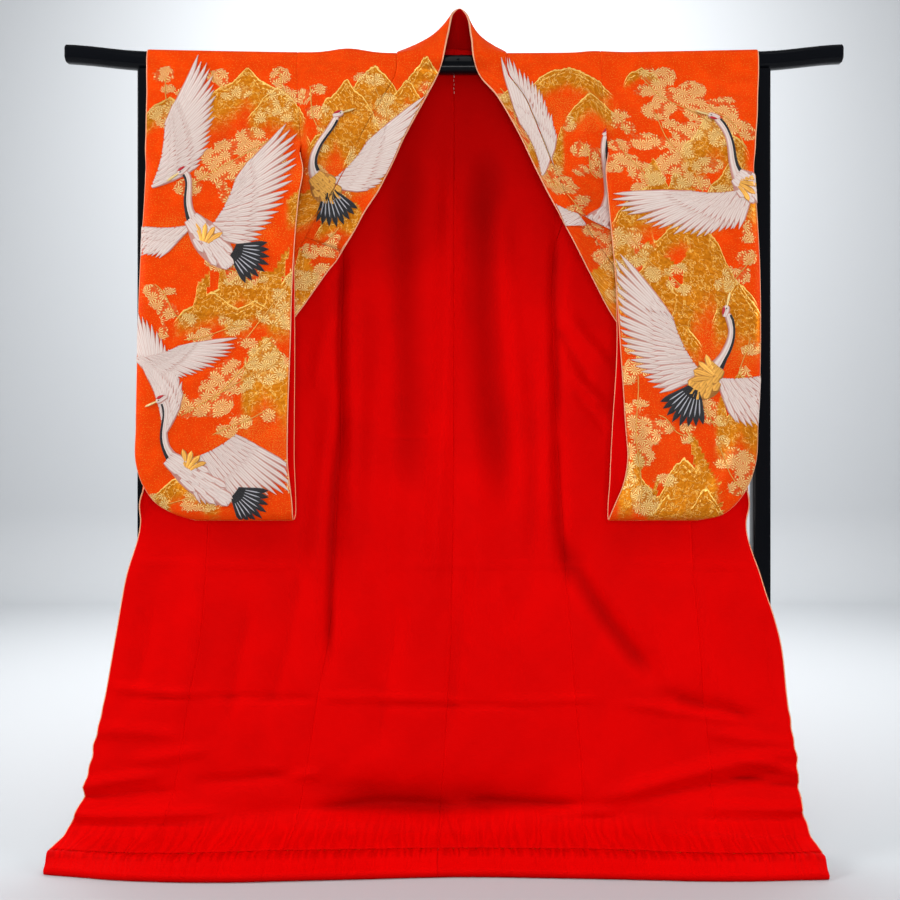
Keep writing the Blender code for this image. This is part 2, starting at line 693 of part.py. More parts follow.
def band(seam, free):
    seam, free = np.array(seam), np.array(free)
    return [tuple(seam + (free - seam) * t) for t in np.linspace(0, 1, COLLAR_COLUMNS)]


def whole_collar(foot):
    left, left_headings = collar_rows(-1, foot[-1])
    right, right_headings = collar_rows(1, foot[1])
    middle = band(*NECK_BACK)
    grid = np.array(left + [middle] + right[::-1])
    headings = left_headings + [[np.subtract(middle[-1], middle[0])] * COLLAR_COLUMNS] + right_headings[::-1]
    facing = normals(grid, -1, np.array(headings))[1:-1]
    grid = grid[1:-1]
    return grid, facing


def collar():
    grid, facing = whole_collar({-1: COLLAR_FOOT, 1: COLLAR_FOOT})
    grid[[0, -1], :, 2] += NECK_GAP
    wall("collar", grid, facing, GAP / 2, GAP / 2 + COLLAR, BROCADE)
    wall("collar_lining", grid, facing, -GAP / 2 - LINING, -GAP / 2, RED_SILK)
    grid, facing = whole_collar(OVERLAY_FOOT)
    for side, end, beside in ((-1, 0, 1), (1, -1, -2)):
        share = np.linspace(*OVERLAY_SLANT[side], COLLAR_COLUMNS)[:, None]
        grid[end] = mix(grid[end], grid[beside], share)
        facing[end] = mix(facing[end], facing[beside], share)
    wall("overlay_collar", grid, facing, GAP * 1.5 + COLLAR, GAP * 1.5 + COLLAR + OVERLAY, BROCADE)


# ---------------------------------------------------------------- sleeves
def closing(side, u, z, outer):
    """How far apart a sleeve's layers stand: 1 in the open, 0 at the seams of its outer edge and foot."""
    edge = (outer - u) / SLEEVE_CLOSE if z < CUFF_FOOT + 0.001 else 1.0
    foot = (z - SLEEVES[side]["z"][-1]) / SLEEVE_CLOSE
    near = min(max(min(edge, foot), 0.0), 1.0)
    return math.sqrt(1 - (1 - near) ** 2)


def sleeve_point(side, share, z, back):
    table = SLEEVES[side]
    inner = read(table, "back_inner" if back else "inner", z)
    outer = read(table, "outer", z)
    if back:
        outer = mix(min(outer, POST_CLEAR), outer, ease((1.50 - z) / 0.05))
    u = mix(inner + GAP / 2, outer, share)
    front = mix(read(SLEEVE_DEPTH, "inner", z), read(SLEEVE_DEPTH, "outer", z), ease(share))
    half = mix(SLEEVE_APART, SLEEVE_HOLLOW / 2, closing(side, u, z, outer))
    middle = front + SLEEVE_HOLLOW / 2
    if not back:
        return (side * u, middle - half, z)
    come = ease((mix(1.50, 1.62, share) - z) / CROSSING)
    return (side * u, mix(read(BODY, "side_back", z), middle + half, come), z)


def sleeve(side, word):
    shares = np.array([0.0, 0.30, 0.62, 0.87, 0.955, 1.0])
    heights = sorted(SLEEVES[side]["z"])
    top = SLEEVES[side]["z"][0]
    grid = [[sleeve_point(side, share, z, False) for share in shares] for z in heights]
    inner, outer = SLEEVES[side]["inner"][0] + GAP / 2, SLEEVES[side]["outer"][0]
    for facing in (-1, 1):
        rows = TOP_ROWS[1:] if facing == 1 else TOP_ROWS[:0:-1]
        far = outer if facing == -1 else POST_CLEAR
        for out, up in rows:
            grid.append([top_row(side, mix(inner, far, share), out, up, facing) for share in shares])
    grid += [[sleeve_point(side, share, z, True) for share in shares] for z in heights[::-1]]
    grid = np.array(grid)
    facing = normals(grid, -side)
    sewn = [i for i in range(len(grid)) if grid[i, 0, 2] >= SLEEVE_SEAM_FOOT - 1e-6]
    facing[sewn, 0, 0] = 0.0
    silk_and_lining(f"sleeve_{word}", grid, facing)


# ---------------------------------------------------------------- padded hem
def hem_roll(side, word):
    """The fuki: lining turned out over padding, gathered into its seam. It rests flat on the floor."""
    count = HEM_GATHERS // 2 * 2 + 1
    length = HALF_HEM[side]
    depth, z = SLOPE["depth"][-1], SLOPE["z"][-1]
    edge = edges_low(side, depth)
    spans = (
        (0.0, edge["side"], BACK_SHARES),
        (edge["side"], edge["okumi"], np.linspace(0, 1, FRONT_COLUMNS)),
        (edge["okumi"], edge["free"], np.linspace(0, 1, OKUMI_COLUMNS)),
    )
    lowest_u = np.concatenate([mix(low, high, shares) for low, high, shares in spans])
    lowest = np.array([slope_row(side, 0.0, u, u, depth, z) for u in lowest_u])
    rings = []
    for index in range(count):
        share = index / (count - 1)
        u = GAP / 2 + share * (length - GAP / 2)
        full = 1.0 if index % 2 else 0.80
        full *= mix(1.0, 0.75, ease((share - 0.97) / 0.03))
        x, back, seam = (float(np.interp(u, lowest_u, lowest[:, k])) for k in range(3))
        back, front = back - HEM_SEAM, -reach_at(side, u)
        deep = HEM_ROLL * full
        profile = [
            (back, seam + 0.0012),
            (mix(back, front, 0.40), seam - 0.006 + deep * 0.9),
            (mix(back, front, 0.75), deep * 2.1),
            (front + 0.0025 * (1 - full), deep * 1.1),
            (mix(back, front, 0.90), 0.0),
            (mix(back, front, 0.62), 0.0),
            (back, seam - 0.0062),
        ]
        rings.append([(x, y, z) for y, z in profile])
    tube(f"hem_{word}", rings, RED_SILK)


stand()
for SIDE, WORD in ((-1, "left"), (1, "right")):
    back_panel(SIDE, WORD)
    front_panel(SIDE, WORD)
    overlap_panel(SIDE, WORD)
    sleeve(SIDE, WORD)
    hem_roll(SIDE, WORD)
collar()
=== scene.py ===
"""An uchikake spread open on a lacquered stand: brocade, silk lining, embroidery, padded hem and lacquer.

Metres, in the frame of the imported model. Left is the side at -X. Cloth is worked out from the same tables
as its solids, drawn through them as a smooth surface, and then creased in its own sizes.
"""

import math
import random

import bmesh
import bpy
import numpy as np
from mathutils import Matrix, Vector
from mathutils.bvhtree import BVHTree


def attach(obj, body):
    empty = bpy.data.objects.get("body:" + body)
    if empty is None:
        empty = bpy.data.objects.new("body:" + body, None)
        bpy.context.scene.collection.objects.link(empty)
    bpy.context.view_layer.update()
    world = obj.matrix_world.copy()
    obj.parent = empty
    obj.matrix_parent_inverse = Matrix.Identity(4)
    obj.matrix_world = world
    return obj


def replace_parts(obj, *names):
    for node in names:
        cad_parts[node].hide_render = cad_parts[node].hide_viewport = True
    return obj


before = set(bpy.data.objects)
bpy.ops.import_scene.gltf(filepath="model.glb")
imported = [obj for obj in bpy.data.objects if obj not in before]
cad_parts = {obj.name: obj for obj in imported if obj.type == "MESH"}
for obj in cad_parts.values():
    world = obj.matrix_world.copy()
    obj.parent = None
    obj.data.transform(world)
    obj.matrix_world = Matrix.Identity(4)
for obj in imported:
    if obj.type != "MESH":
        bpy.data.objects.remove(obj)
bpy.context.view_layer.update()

# ---------------------------------------------------------------- camera
EYE = (-0.0086, -2.5, 0.85)
bpy.ops.object.camera_add(location=EYE, rotation=(math.radians(90), 0, 0))
camera = bpy.context.object
camera.data.lens = 46.5
camera.data.sensor_width = 36
bpy.context.scene.camera = camera
bpy.context.scene.view_settings.view_transform = "Standard"

# ---------------------------------------------------------------- driving sizes
GAP = 0.0003  # between pieces that are sewn together
BROCADE_WALL, LINING_WALL = 0.0018, 0.0012
COLLAR_WALL = 0.0022  # the collar is brocade over stiffening
OVERLAY_WALL = 0.0012  # second collar, tacked over the first
FRONT_WIDTH = 0.27  # a front panel from its side seam to the overlap panel's seam
SLEEVE_SEAM_FOOT = 1.50  # height at which a sleeve leaves the body
OKUMI_TOP = 1.35  # row in which the collar crosses the front panel's edge
OKUMI_POINT = 0.90  # how far up to that row the overlap panel's point is cut
COLLAR_FOOT = 0.88  # height of the collar's lower ends, which taper off along the overlap
BACK_SHARES = np.array([0.0, 0.12, 0.23, 0.35, 0.55, 0.78, 1.0])  # a back panel's columns
SLEEVE_SHARES = np.array([0.0, 0.15, 0.30, 0.46, 0.62, 0.76, 0.87, 0.93, 0.965, 0.985, 1.0])
FRONT_COLUMNS, OKUMI_COLUMNS, COLLAR_COLUMNS = 13, 6, 4
FOLD_COLUMNS = 5.0  # how much closer together the columns of a front stand where it is folded open
FOLD_REACH = 0.034
FOLD_TOP = 1.40  # from here down a front is folded right round, from here up its side edge swings forward
REAR_BOW = 0.15  # how much the part behind the fold bows backward
EXTRA_ROWS = (1.475, 1.425, 1.07, 0.985, 0.735)  # where the cloth turns fast
HEM_SEAM = 0.0013  # between the lowest row of a sloping panel and the padding
RAIL_LENGTH = 1.665
RAIL_HALF_HEIGHT = 0.019
RAIL_HALF_DEPTH = 0.0185
RAIL_CORNER = 0.012
RAIL_Z = 1.678  # centre of the rail at the middle of its length
RAIL_BOW, RAIL_TIP = 0.008, 0.010  # how far it rises up to the posts, and from there to its ends
POST_X = 0.658
POST_HALF = 0.0185


def columns(names, rows):
    """A table in plain text, with one row of numbers a line, as one array for each named column."""
    table = [[float(number) for number in row.split()] for row in rows.strip().splitlines()]
    return dict(zip(names.split(), np.array(table).T))


def read(table, name, where, key="z"):
    order = np.argsort(table[key])
    return float(np.interp(where, table[key][order], table[name][order]))


def ease(t):
    t = min(max(t, 0.0), 1.0)
    return t * t * (3 - 2 * t)


def mix(a, b, t):
    return a + (b - a) * t


def run_of(points):
    """Lengths along a line of points, from 0."""
    return np.concatenate([[0], np.cumsum(np.linalg.norm(np.diff(points, axis=0), axis=1))])


def unit(vectors):
    return vectors / np.maximum(np.linalg.norm(vectors, axis=-1, keepdims=True), 1e-9)


# How deep the body lies, from the shoulders to the floor. back: the back panels at their centre seam.
# side_back, side_front: the side edges of back and front, sewn together from 1.35 down. rear, front: the
# two arms of a front panel that is folded open, before and behind its fold.
BODY = columns("z back side_back side_front rear front", """
1.66 .0205 .0205 -.0225 0 -.0225
1.6 .024 .024 -.03 -.006 -.03
1.55 .026 .0255 -.038 -.014 -.038
1.5 .027 .0255 -.045 -.022 -.045
1.45 .027 .0245 -.025 -.021 -.048
1.4 .026 .023 -.005 -.011 -.051
1.35 .025 .0205 .0205 -.006 -.053
1.3 .024 .019 .019 -.006 -.055
1.22 .021 .016 .016 -.008 -.0555
1.12 .017 .012 .012 -.012 -.056
1.02 .012 .007 .007 -.018 -.0565
.95 .008 .002 .002 -.024 -.057
.88 .004 -.002 -.002 -.029 -.057
.82 .001 -.006 -.006 -.032 -.057
.77 -.002 -.009 -.009 -.034 -.056
.7 -.006 -.013 -.013 -.036 -.058
.58 -.011 -.019 -.019 -.04 -.062
.45 -.015 -.024 -.024 -.046 -.068
.32 -.018 -.028 -.028 -.058 -.08
.2 -.021 -.033 -.033 -.072 -.094
.12 -.025 -.04 -.04 -.086 -.108""")

# The same heights across the garment, one table for each side, outward from the centre seam. side: the side
# edge, free: the front's open edge, fold: the outermost point, collar: the width of the collar's band.
ACROSS = {
    -1: columns("z side fold free collar", """
1.66 .334 .334 .032 .09
1.6 .331 .331 .06 .09
1.55 .327 .327 .086 .092
1.5 .323 .323 .111 .092
1.45 .312 .314 .133 .092
1.4 .285 .335 .158 .094
1.35 .25 .365 .19 .094
1.3 .243 .41 .217 .094
1.22 .241 .445 .271 .092
1.12 .244 .485 .343 .088
1.02 .245 .54 .43 .082
.95 .244 .585 .5 .074
.88 .244 .622 .57 .008
.82 .246 .648 .628 0
.77 .248 .654 .65 0
.7 .251 .67 .67 0
.58 .254 .689 .689 0
.45 .262 .708 .708 0
.32 .277 .721 .721 0
.2 .288 .738 .738 0
.12 .296 .748 .748 0"""),
    1: columns("z side fold free collar", """
1.66 .313 .313 .05 .062
1.6 .3165 .3165 .094 .056
1.55 .32 .32 .122 .048
1.5 .3235 .3235 .147 .042
1.45 .312 .314 .17 .038
1.4 .283 .332 .194 .036
1.35 .24 .362 .221 .038
1.3 .222 .405 .247 .046
1.22 .214 .44 .288 .06
1.12 .214 .48 .343 .078
1.02 .217 .532 .425 .08
.95 .22 .566 .482 .074
.88 .224 .592 .545 .008
.82 .228 .61 .592 0
.77 .231 .621 .617 0
.7 .236 .629 .629 0
.58 .243 .653 .653 0
.45 .256 .694 .694 0
.32 .272 .714 .714 0
.2 .29 .735 .735 0
.12 .298 .746 .746 0"""),
}

# Below 0.12 m the body bends forward and runs down to its padded hem. depth is a share of the hem's reach,
# and lift is added for what the sides stand proud of the middle.
SLOPE = columns("depth z", """
.19 .072
.3 .053
.45 .043
.6 .034""")
HEM_REACH = columns("x reach", """
-.82 .168
-.74 .205
-.5 .23
-.15 .206
0 .192
.25 .204
.55 .222
.74 .205""")
HALF_HEM = {-1: 0.789, 1: 0.775}  # from the centre seam to each lower corner
CENTRE_SEAM = columns("z x", """
1.72 0
1.3 0
.7 -.002
.45 -.0065
.3 -.015
.17 -.0225
.1 -.028
.03 -.034""")

# Soft upright folds in the back panels: distance from the centre seam, half-width, depth and the heights
# between which each one shows. A fold with a minus depth goes back.
BACK_FOLDS = {
    -1: columns("at half depth top foot", """
.085 .035 .008 1.6 .35
.17 .04 -.006 1.45 .25"""),
    1: columns("at half depth top foot", """
.045 .03 .007 1.58 .45
.135 .045 -.008 1.5 .2"""),
}

# Sleeves, outward from the centre. inner and outer edges of the front layer, inner edge of the back layer.
SLEEVES = {
    -1: columns("z inner outer back_inner", """
1.66 .334 .654 .334
1.6 .331 .648 .331
1.55 .327 .643 .327
1.5 .323 .639 .323
1.475 .3242 .639 .33
1.44 .317 .639 .336
1.38 .323 .641 .34
1.25 .333 .649 .335
1.05 .34 .656 .333
.9 .345 .659 .334
.82 .345 .6585 .334
.775 .34 .643 .332
.74 .336 .617 .331
.716 .335 .573 .331
.706 .335 .538 .333"""),
    1: columns("z inner outer back_inner", """
1.66 .313 .648 .313
1.6 .3165 .64 .3165
1.55 .32 .633 .32
1.5 .3235 .625 .3235
1.475 .3245 .623 .33
1.44 .318 .621 .336
1.38 .32 .6245 .34
1.25 .331 .632 .338
1.05 .345 .634 .34
.9 .3545 .629 .331
.82 .358 .6235 .327
.775 .349 .608 .325
.74 .334 .584 .322
.716 .324 .553 .321
.706 .321 .507 .321"""),
}
SLEEVE_DEPTH = columns("z inner outer", """
1.66 -.0225 -.0225
1.6 -.03 -.045
1.55 -.038 -.068
1.5 -.045 -.086
1.475 -.057 -.09
1.44 -.07 -.094
1.38 -.086 -.0965
1.25 -.096 -.098
1.05 -.098 -.098
.7 -.098 -.098""")
SLEEVE_HOLLOW = 0.022  # between a sleeve's layers where both hang before the posts
CUFF_FOOT = 1.46  # the hand's opening runs from the shoulder down to here
SLEEVE_CLOSE = 0.028  # width over which the two layers come together at the outer edge and the foot
SLEEVE_APART = 0.0017  # half of what stays between the layers at their seam
CROSSING = 0.12  # height in which a sleeve's back layer comes forward, from behind the rail to before it
CROSSING_TOP = (1.50, 1.62)  # where that starts, at the inner and the outer edge
POST_CLEAR = 0.6335  # a back layer stays inside this while it passes the post

# The collar's free edge round the neck, outward from the centre: four points beside the four rows in which
# the front goes over the rail, then those behind it. NECK_BACK is the band at the back of the neck.
NECK = {
    -1: columns("u y z", """
.023 -.04 1.683
.019 -.033 1.706
.016 -.026 1.722
.013 -.016 1.738
.008 0 1.768
.001 .022 1.797"""),
    1: columns("u y z", """
.04 -.04 1.69
.039 -.033 1.706
.038 -.026 1.72
.036 -.016 1.735
.033 0 1.763
.025 .022 1.795"""),
}
NECK_BEHIND = (0.75, 0.35)  # shares of the half neck at which the sewn edge follows those last points
NECK_BACK = ((0.0, 0.0345, 1.7257), (0.013, 0.036, 1.812))
NECK_GAP = 0.0008  # between the collar and the panels where it leaves their plane
COLLAR_RISE = 0.0030  # the collar's sewn edge stands this far above the back panels' edge
NECK_EDGE_Y, NECK_EDGE_Z = 0.034, 1.7235  # the back panels' upper edge at the centre seam
NECK_HALF = {-1: 0.112, 1: 0.102}  # where the neck's edge reaches the shoulder
SHOULDER_PUFF = {-1: (0.225, 0.045, 0.0090), 1: (0.300, 0.030, 0.0030)}  # place, half-width, height
OVERLAY_FOOT = {-1: 1.22, 1: 1.30}  # rows at which the second collar ends
OVERLAY_SLANT = {-1: (0.96, 0.60), 1: (0.30, 0.42)}  # how far on to the next row, at seam and free edge


def rail_centre(x):
    """The rail's centre line turns up a little towards its ends."""
    beyond = (abs(x) - POST_X) / (RAIL_LENGTH / 2 - POST_X)
    return RAIL_Z + RAIL_BOW * (x / POST_X) ** 2 + RAIL_TIP * ease(beyond)


def over_rail(clear):
    """Half the rail's section from its top down, moved out by clear: distance outward and height."""
    flat, upright = RAIL_HALF_DEPTH - RAIL_CORNER, RAIL_HALF_HEIGHT - RAIL_CORNER
    turn = (RAIL_CORNER + clear) * math.sqrt(0.5)
    return [
        (0.0, RAIL_HALF_HEIGHT + clear),
        (flat, RAIL_HALF_HEIGHT + clear),
        (flat + turn, upright + turn),
        (RAIL_HALF_DEPTH + clear, upright),
    ]


HEM_ROUNDING = (-0.09, -0.06, -0.03, 0.0, 0.03, 0.06, 0.09)  # the hem's line is a mean over these offsets


# ---------------------------------------------------------------- body
REST = 0.0021  # from the rail's face to the inner surface of the cloth on it, with the lining between
FOLD_FADE = 0.15  # height over which a soft fold of the back comes and goes
LEAN, SIDE_RISE = -0.075, 0.010  # how far the outer parts of the body come forward and rise near the floor
OPEN_FROM = 0.80  # from here down a front opens out flat
ARM_POINTS = 13
TOP_ROWS = over_rail(REST)


def shoulder_puff(side, u):
    at, half, height = SHOULDER_PUFF[side]
    return height * math.exp(-(((u - at) / half) ** 2))


def place(side, u, y, z):
    return (read(CENTRE_SEAM, "x", z) + side * u, y, z)


def fold_depth(side, u, z):
    depth = 0.0
    for at, half, deep, top, foot in zip(*BACK_FOLDS[side].values()):
        shown = ease((top - z) / FOLD_FADE) * ease((z - foot) / FOLD_FADE)
        depth += deep * shown * math.exp(-(((u - at) / half) ** 2))
    return depth


def front_path(side, z):
    """Half the front at one height, from the side edge to the free edge: points and lengths along them."""
    across, turned = ACROSS[side], ease((z - FOLD_TOP) / (SLEEVE_SEAM_FOOT - FOLD_TOP))
    side_u, fold, free = (read(across, name, z) for name in ("side", "fold", "free"))
    side_y, rear, front = (read(BODY, name, z) for name in ("side_front", "rear", "front"))
    radius = (rear - front) / 2
    hinge = mix(fold - radius, fold, turned)
    open_out = ease((OPEN_FROM - z) / 0.12)
    end = math.pi * (1 - open_out)
    if free > hinge and open_out < 1:
        end = min(end, math.pi - math.asin(min((free - hinge) / radius, 1.0)))
    start = min(math.pi * turned, end)

    def on_arc(turn):
        return np.array([hinge + radius * math.sin(turn), rear - radius * (1 - math.cos(turn))])

    points = []
    if turned < 1:
        last = on_arc(start)
        first = last + (np.array([side_u, side_y]) - last) * (1 - turned)
        bow = np.array([0.0, REAR_BOW * (first[1] - last[1])])
        for t in np.linspace(0, 1, ARM_POINTS)[:-1]:
            points.append(first + (last - first) * t + bow * math.sin(math.pi * t))
    points += [on_arc(turn) for turn in np.linspace(start, end, ARM_POINTS)]
    if free < hinge:
        points += [np.array([mix(hinge, free, t), front]) for t in np.linspace(0, 1, ARM_POINTS)[1:]]
    elif open_out >= 1:
        points.append(np.array([free, rear]))
    points = np.array(points)
    return points, run_of(points)


def on_path(path, length):
    points, lengths = path
    return [float(np.interp(length, lengths, points[:, k])) for k in (0, 1)]


def seams(side, z, path):
    """Lengths along the front's path of the overlap panel's seam, the collar's seam and the free edge."""
    total = path[1][-1]
    collar = read(ACROSS[side], "collar", z) if z >= COLLAR_FOOT - 1e-6 else 0.0
    return min(FRONT_WIDTH, total - collar), total - collar, total


def reach_at(side, u):
    x = side * u + CENTRE_SEAM["x"][-1]
    near = [read(HEM_REACH, "reach", x + off, key="x") for off in HEM_ROUNDING]
    return sum(near) / len(near)


def slope_row(side, share_across, low, high, depth, z):
    """A point of the lowest rows, which run forward over the floor, between two distances outward."""
    u, far = mix(low, high, share_across), 1 - depth
    y = -reach_at(side, u) * depth + LEAN * ease((u - 0.30) / 0.42) * far
    return place(side, u, y, z + SIDE_RISE * ease((u - 0.45) / 0.3) * far)


HANGING = sorted([*BODY["z"], *EXTRA_ROWS], reverse=True)


def low_rows(side, shares, inner, outer, gap=GAP / 2):
    """The rows of a panel that run forward over the floor, between two seams named here."""
    edge = {"centre": 0.0, "okumi": on_path(front_path(side, HANGING[-1]), FRONT_WIDTH)[0]}
    edge.update({name: ACROSS[side][name][-1] for name in ("side", "free")})
    rows, full = [], HALF_HEM[side] / edge["free"]
    for depth, z in zip(SLOPE["depth"], SLOPE["z"]):
        low, high = (edge[name] * mix(1.0, full, depth / SLOPE["depth"][-1]) for name in (inner, outer))
        rows.append([slope_row(side, t, low + GAP / 2, high - gap, depth, z) for t in shares])
    return rows


def top_row(side, u, out, up, facing):
    """A point where the cloth goes over the rail. facing is -1 before the rail and 1 behind it."""
    return (side * u, facing * out, rail_centre(u) + up + shoulder_puff(side, u) * ease((up + 0.01) / 0.03))


def back_top(side, u, index):
    """A point of the back panels' highest rows. Near the centre they stand up behind the rail."""
    out, up = TOP_ROWS[index]
    x, y, z = top_row(side, u, max(out, GAP / 2), up, 1)
    standing = 1 - ease(u / NECK_HALF[side])
    level = (3 - index) / 3
    y = mix(y, mix(TOP_ROWS[3][0], NECK_EDGE_Y, level), standing)
    z = mix(z, mix(rail_centre(0) + TOP_ROWS[3][1], NECK_EDGE_Z, level), standing)
    return (x, y, z)


def spread(path, first, last, count, closer):
    """Lengths along a front's path for the columns of a panel, closer together where the cloth turns."""
    points, lengths = path
    outermost = lengths[np.argmax(points[:, 0])]
    steps = np.linspace(first, last, 200)
    weight = 1 + closer * np.exp(-(((steps - outermost) / FOLD_REACH) ** 2))
    filled = np.concatenate([[0], np.cumsum((weight[1:] + weight[:-1]) / 2)])
    return np.interp(np.linspace(0, filled[-1], count), filled, steps)


def along_front(side, z, first, last, count):
    """One row of a panel between two lengths on the front's path."""
    path, row = front_path(side, z), []
    for length in spread(path, first, last, count, FOLD_COLUMNS * ease((z - 0.6) / 0.2)):
        u, y = on_path(path, length)
        row.append(place(side, u, y, z))
    return row


def band(seam, free):
    seam, free = np.array(seam), np.array(free)
    return [tuple(seam + (free - seam) * t) for t in np.linspace(0, 1, COLLAR_COLUMNS)]


def collar_rows(side, foot):
    """The collar's points from one lower end up to the shoulder, then round to the back of the neck."""
    rows = []
    for z in sorted(z for z in HANGING if z >= foot - 1e-6):
        _, first, last = seams(side, z, front_path(side, z))
        start = first + (NECK_GAP if z < COLLAR_FOOT + 0.001 else GAP / 2)
        rows.append(along_front(side, z, start, last, COLLAR_COLUMNS))
    path = front_path(side, HANGING[0])
    shoulder_u = on_path(path, seams(side, HANGING[0], path)[1])[0] - NECK_GAP
    sewn = [top_row(side, shoulder_u, out, up, -1) for out, up in TOP_ROWS[::-1]]
    sewn[-1] = tuple(np.array(sewn[-1]) + (0.0, -NECK_GAP, COLLAR_RISE))
    for share in NECK_BEHIND:
        x, y, z = back_top(side, shoulder_u * share, 0)
        sewn.append((x, y, z + COLLAR_RISE))
    return rows + [band(start, (side * u, y, z)) for start, u, y, z in zip(sewn, *NECK[side].values())]


def collar_grid(foot):
    """The whole collar from its left end round the neck to its right end."""
    grid = np.array(collar_rows(-1, foot[-1]) + [band(*NECK_BACK)] + collar_rows(1, foot[1])[::-1])
    if foot is OVERLAY_FOOT:
        for side, end, beside in ((-1, 0, 1), (1, -1, -2)):
            slant = np.linspace(*OVERLAY_SLANT[side], COLLAR_COLUMNS)[:, None]
            grid[end] = mix(grid[end], grid[beside], slant)
    return grid


# ---------------------------------------------------------------- sleeves
def closing(side, u, z, outer):
    """How far apart a sleeve's layers stand: 1 in the open, 0 at the seams of its outer edge and foot."""
    edge = (outer - u) / SLEEVE_CLOSE if z < CUFF_FOOT + 0.001 else 1.0
    foot = (z - SLEEVES[side]["z"][-1]) / SLEEVE_CLOSE
    near = min(max(min(edge, foot), 0.0), 1.0)
    return math.sqrt(1 - (1 - near) ** 2)


def sleeve_point(side, share, z, back):
    table = SLEEVES[side]
    inner = read(table, "back_inner" if back else "inner", z)
    outer = read(table, "outer", z)
    if back:
        outer = mix(min(outer, POST_CLEAR), outer, ease((SLEEVE_SEAM_FOOT - z) / 0.05))
    u = mix(inner + GAP / 2, outer, share)
    front = mix(read(SLEEVE_DEPTH, "inner", z), read(SLEEVE_DEPTH, "outer", z), ease(share))
    half = mix(SLEEVE_APART, SLEEVE_HOLLOW / 2, closing(side, u, z, outer))
    middle = front + SLEEVE_HOLLOW / 2
    if not back:
        return (side * u, middle - half, z)
    come = ease((mix(*CROSSING_TOP, share) - z) / CROSSING)
    return (side * u, mix(read(BODY, "side_back", z), middle + half, come), z)


# ---------------------------------------------------------------- panels as coarse grids
def back_grid(side):
    """A back panel from the shoulder down to its lowest row, from the centre seam outward."""
    edge, tops = ACROSS[side]["side"][0] - GAP, range(len(TOP_ROWS))
    grid = [[back_top(side, GAP / 2 + share * edge, index) for share in BACK_SHARES] for index in tops]
    for z in HANGING:
        edge = read(ACROSS[side], "side", z) - GAP
        centre, side_y = read(BODY, "back", z), read(BODY, "side_back", z)
        row = []
        for share in BACK_SHARES:
            u = GAP / 2 + share * edge
            row.append(place(side, u, mix(centre, side_y, ease(share)) - fold_depth(side, u, z), z))
        grid.append(row)
    return np.array(grid + low_rows(side, BACK_SHARES, "centre", "side"))


def front_grid(side):
    """A front panel from the shoulder down, from the side seam round its fold to the overlap panel."""
    count = FRONT_COLUMNS
    path = front_path(side, HANGING[0])
    lengths = np.linspace(GAP / 2, seams(side, HANGING[0], path)[0] - GAP / 2, count)
    across = [on_path(path, length)[0] for length in lengths]
    grid = [[top_row(side, u, max(out, GAP / 2), up, -1) for u in across] for out, up in TOP_ROWS]
    for z in HANGING:
        path = front_path(side, z)
        grid.append(along_front(side, z, GAP / 2, seams(side, z, path)[0] - GAP / 2, count))
    return np.array(grid + low_rows(side, np.linspace(0, 1, count), "side", "okumi"))


def okumi_grid(side):
    """An overlap panel, from its point at the collar down."""
    count = OKUMI_COLUMNS
    grid = []
    for z in [z for z in HANGING if z < OKUMI_TOP + 0.001]:
        first, last, edge = seams(side, z, front_path(side, z))
        grid.append(along_front(side, z, first + GAP / 2, min(last, edge) - GAP / 2, count))
    grid = np.array(grid + low_rows(side, np.linspace(0, 1, count), "okumi", "free", 0.0))
    grid[0] = mix(grid[1], grid[0], OKUMI_POINT)
    return grid


def sleeve_grid(side):
    """A sleeve from the foot of its front layer up, over the rail and down to the back layer's foot."""
    shares = SLEEVE_SHARES
    heights = sorted(SLEEVES[side]["z"])
    grid = [[sleeve_point(side, share, z, False) for share in shares] for z in heights]
    inner, outer = SLEEVES[side]["inner"][0] + GAP / 2, SLEEVES[side]["outer"][0]
    for facing in (-1, 1):
        rows = TOP_ROWS[1:] if facing == 1 else TOP_ROWS[:0:-1]
        far = outer if facing == -1 else POST_CLEAR
        for out, up in rows:
            grid.append([top_row(side, mix(inner, far, share), out, up, facing) for share in shares])
    grid += [[sleeve_point(side, share, z, True) for share in shares] for z in heights[::-1]]
    return np.array(grid)


# ---------------------------------------------------------------- smooth cloth through the coarse grids
def stops_between(gaps, step):
    """Places along a row of gaps: each gap is cut into equal steps no longer than step."""
    places, start = [0.0], 0.0
    for gap in gaps:
        count = max(int(math.ceil(gap / step)), 1)
        places += [start + gap * k / count for k in range(1, count + 1)]
        start += gap
    return np.array(places)


def with_edges(places):
    """The same places, with two more close to each end, where a seam draws the cloth in."""
    total, margin = places[-1], EDGE_STEPS[-1] * 1.4
    inside = places[(places > margin) & (places < total - margin)]
    near = np.array([0.0, *EDGE_STEPS])
    return np.concatenate([near, inside, (total - near)[::-1]])


def curve_through(grid, gaps, places):
    """A smooth curve through every column of a grid, read at places along its rows."""
    wide = gaps[:, None, None]
    slope = np.diff(grid, axis=0) / wide
    tangent = np.concatenate([slope[:1], slope])
    tangent[1:-1] = (slope[:-1] * wide[1:] + slope[1:] * wide[:-1]) / (wide[1:] + wide[:-1])
    tangent[-1] = slope[-1]
    where = np.concatenate([[0], np.cumsum(gaps)])
    index = np.clip(np.searchsorted(where, places, side="right") - 1, 0, len(gaps) - 1)
    t = ((places - where[index]) / gaps[index])[:, None, None]
    start, end = grid[index], grid[index + 1]
    rise, fall = tangent[index] * wide[index], tangent[index + 1] * wide[index]
    return (
        start * (2 * t**3 - 3 * t**2 + 1)
        + rise * (t**3 - 2 * t**2 + t)
        + end * (3 * t**2 - 2 * t**3)
        + fall * (t**3 - t**2)
    )


def mean_gaps(grid):
    return np.linalg.norm(np.diff(grid, axis=0), axis=2).mean(axis=1)


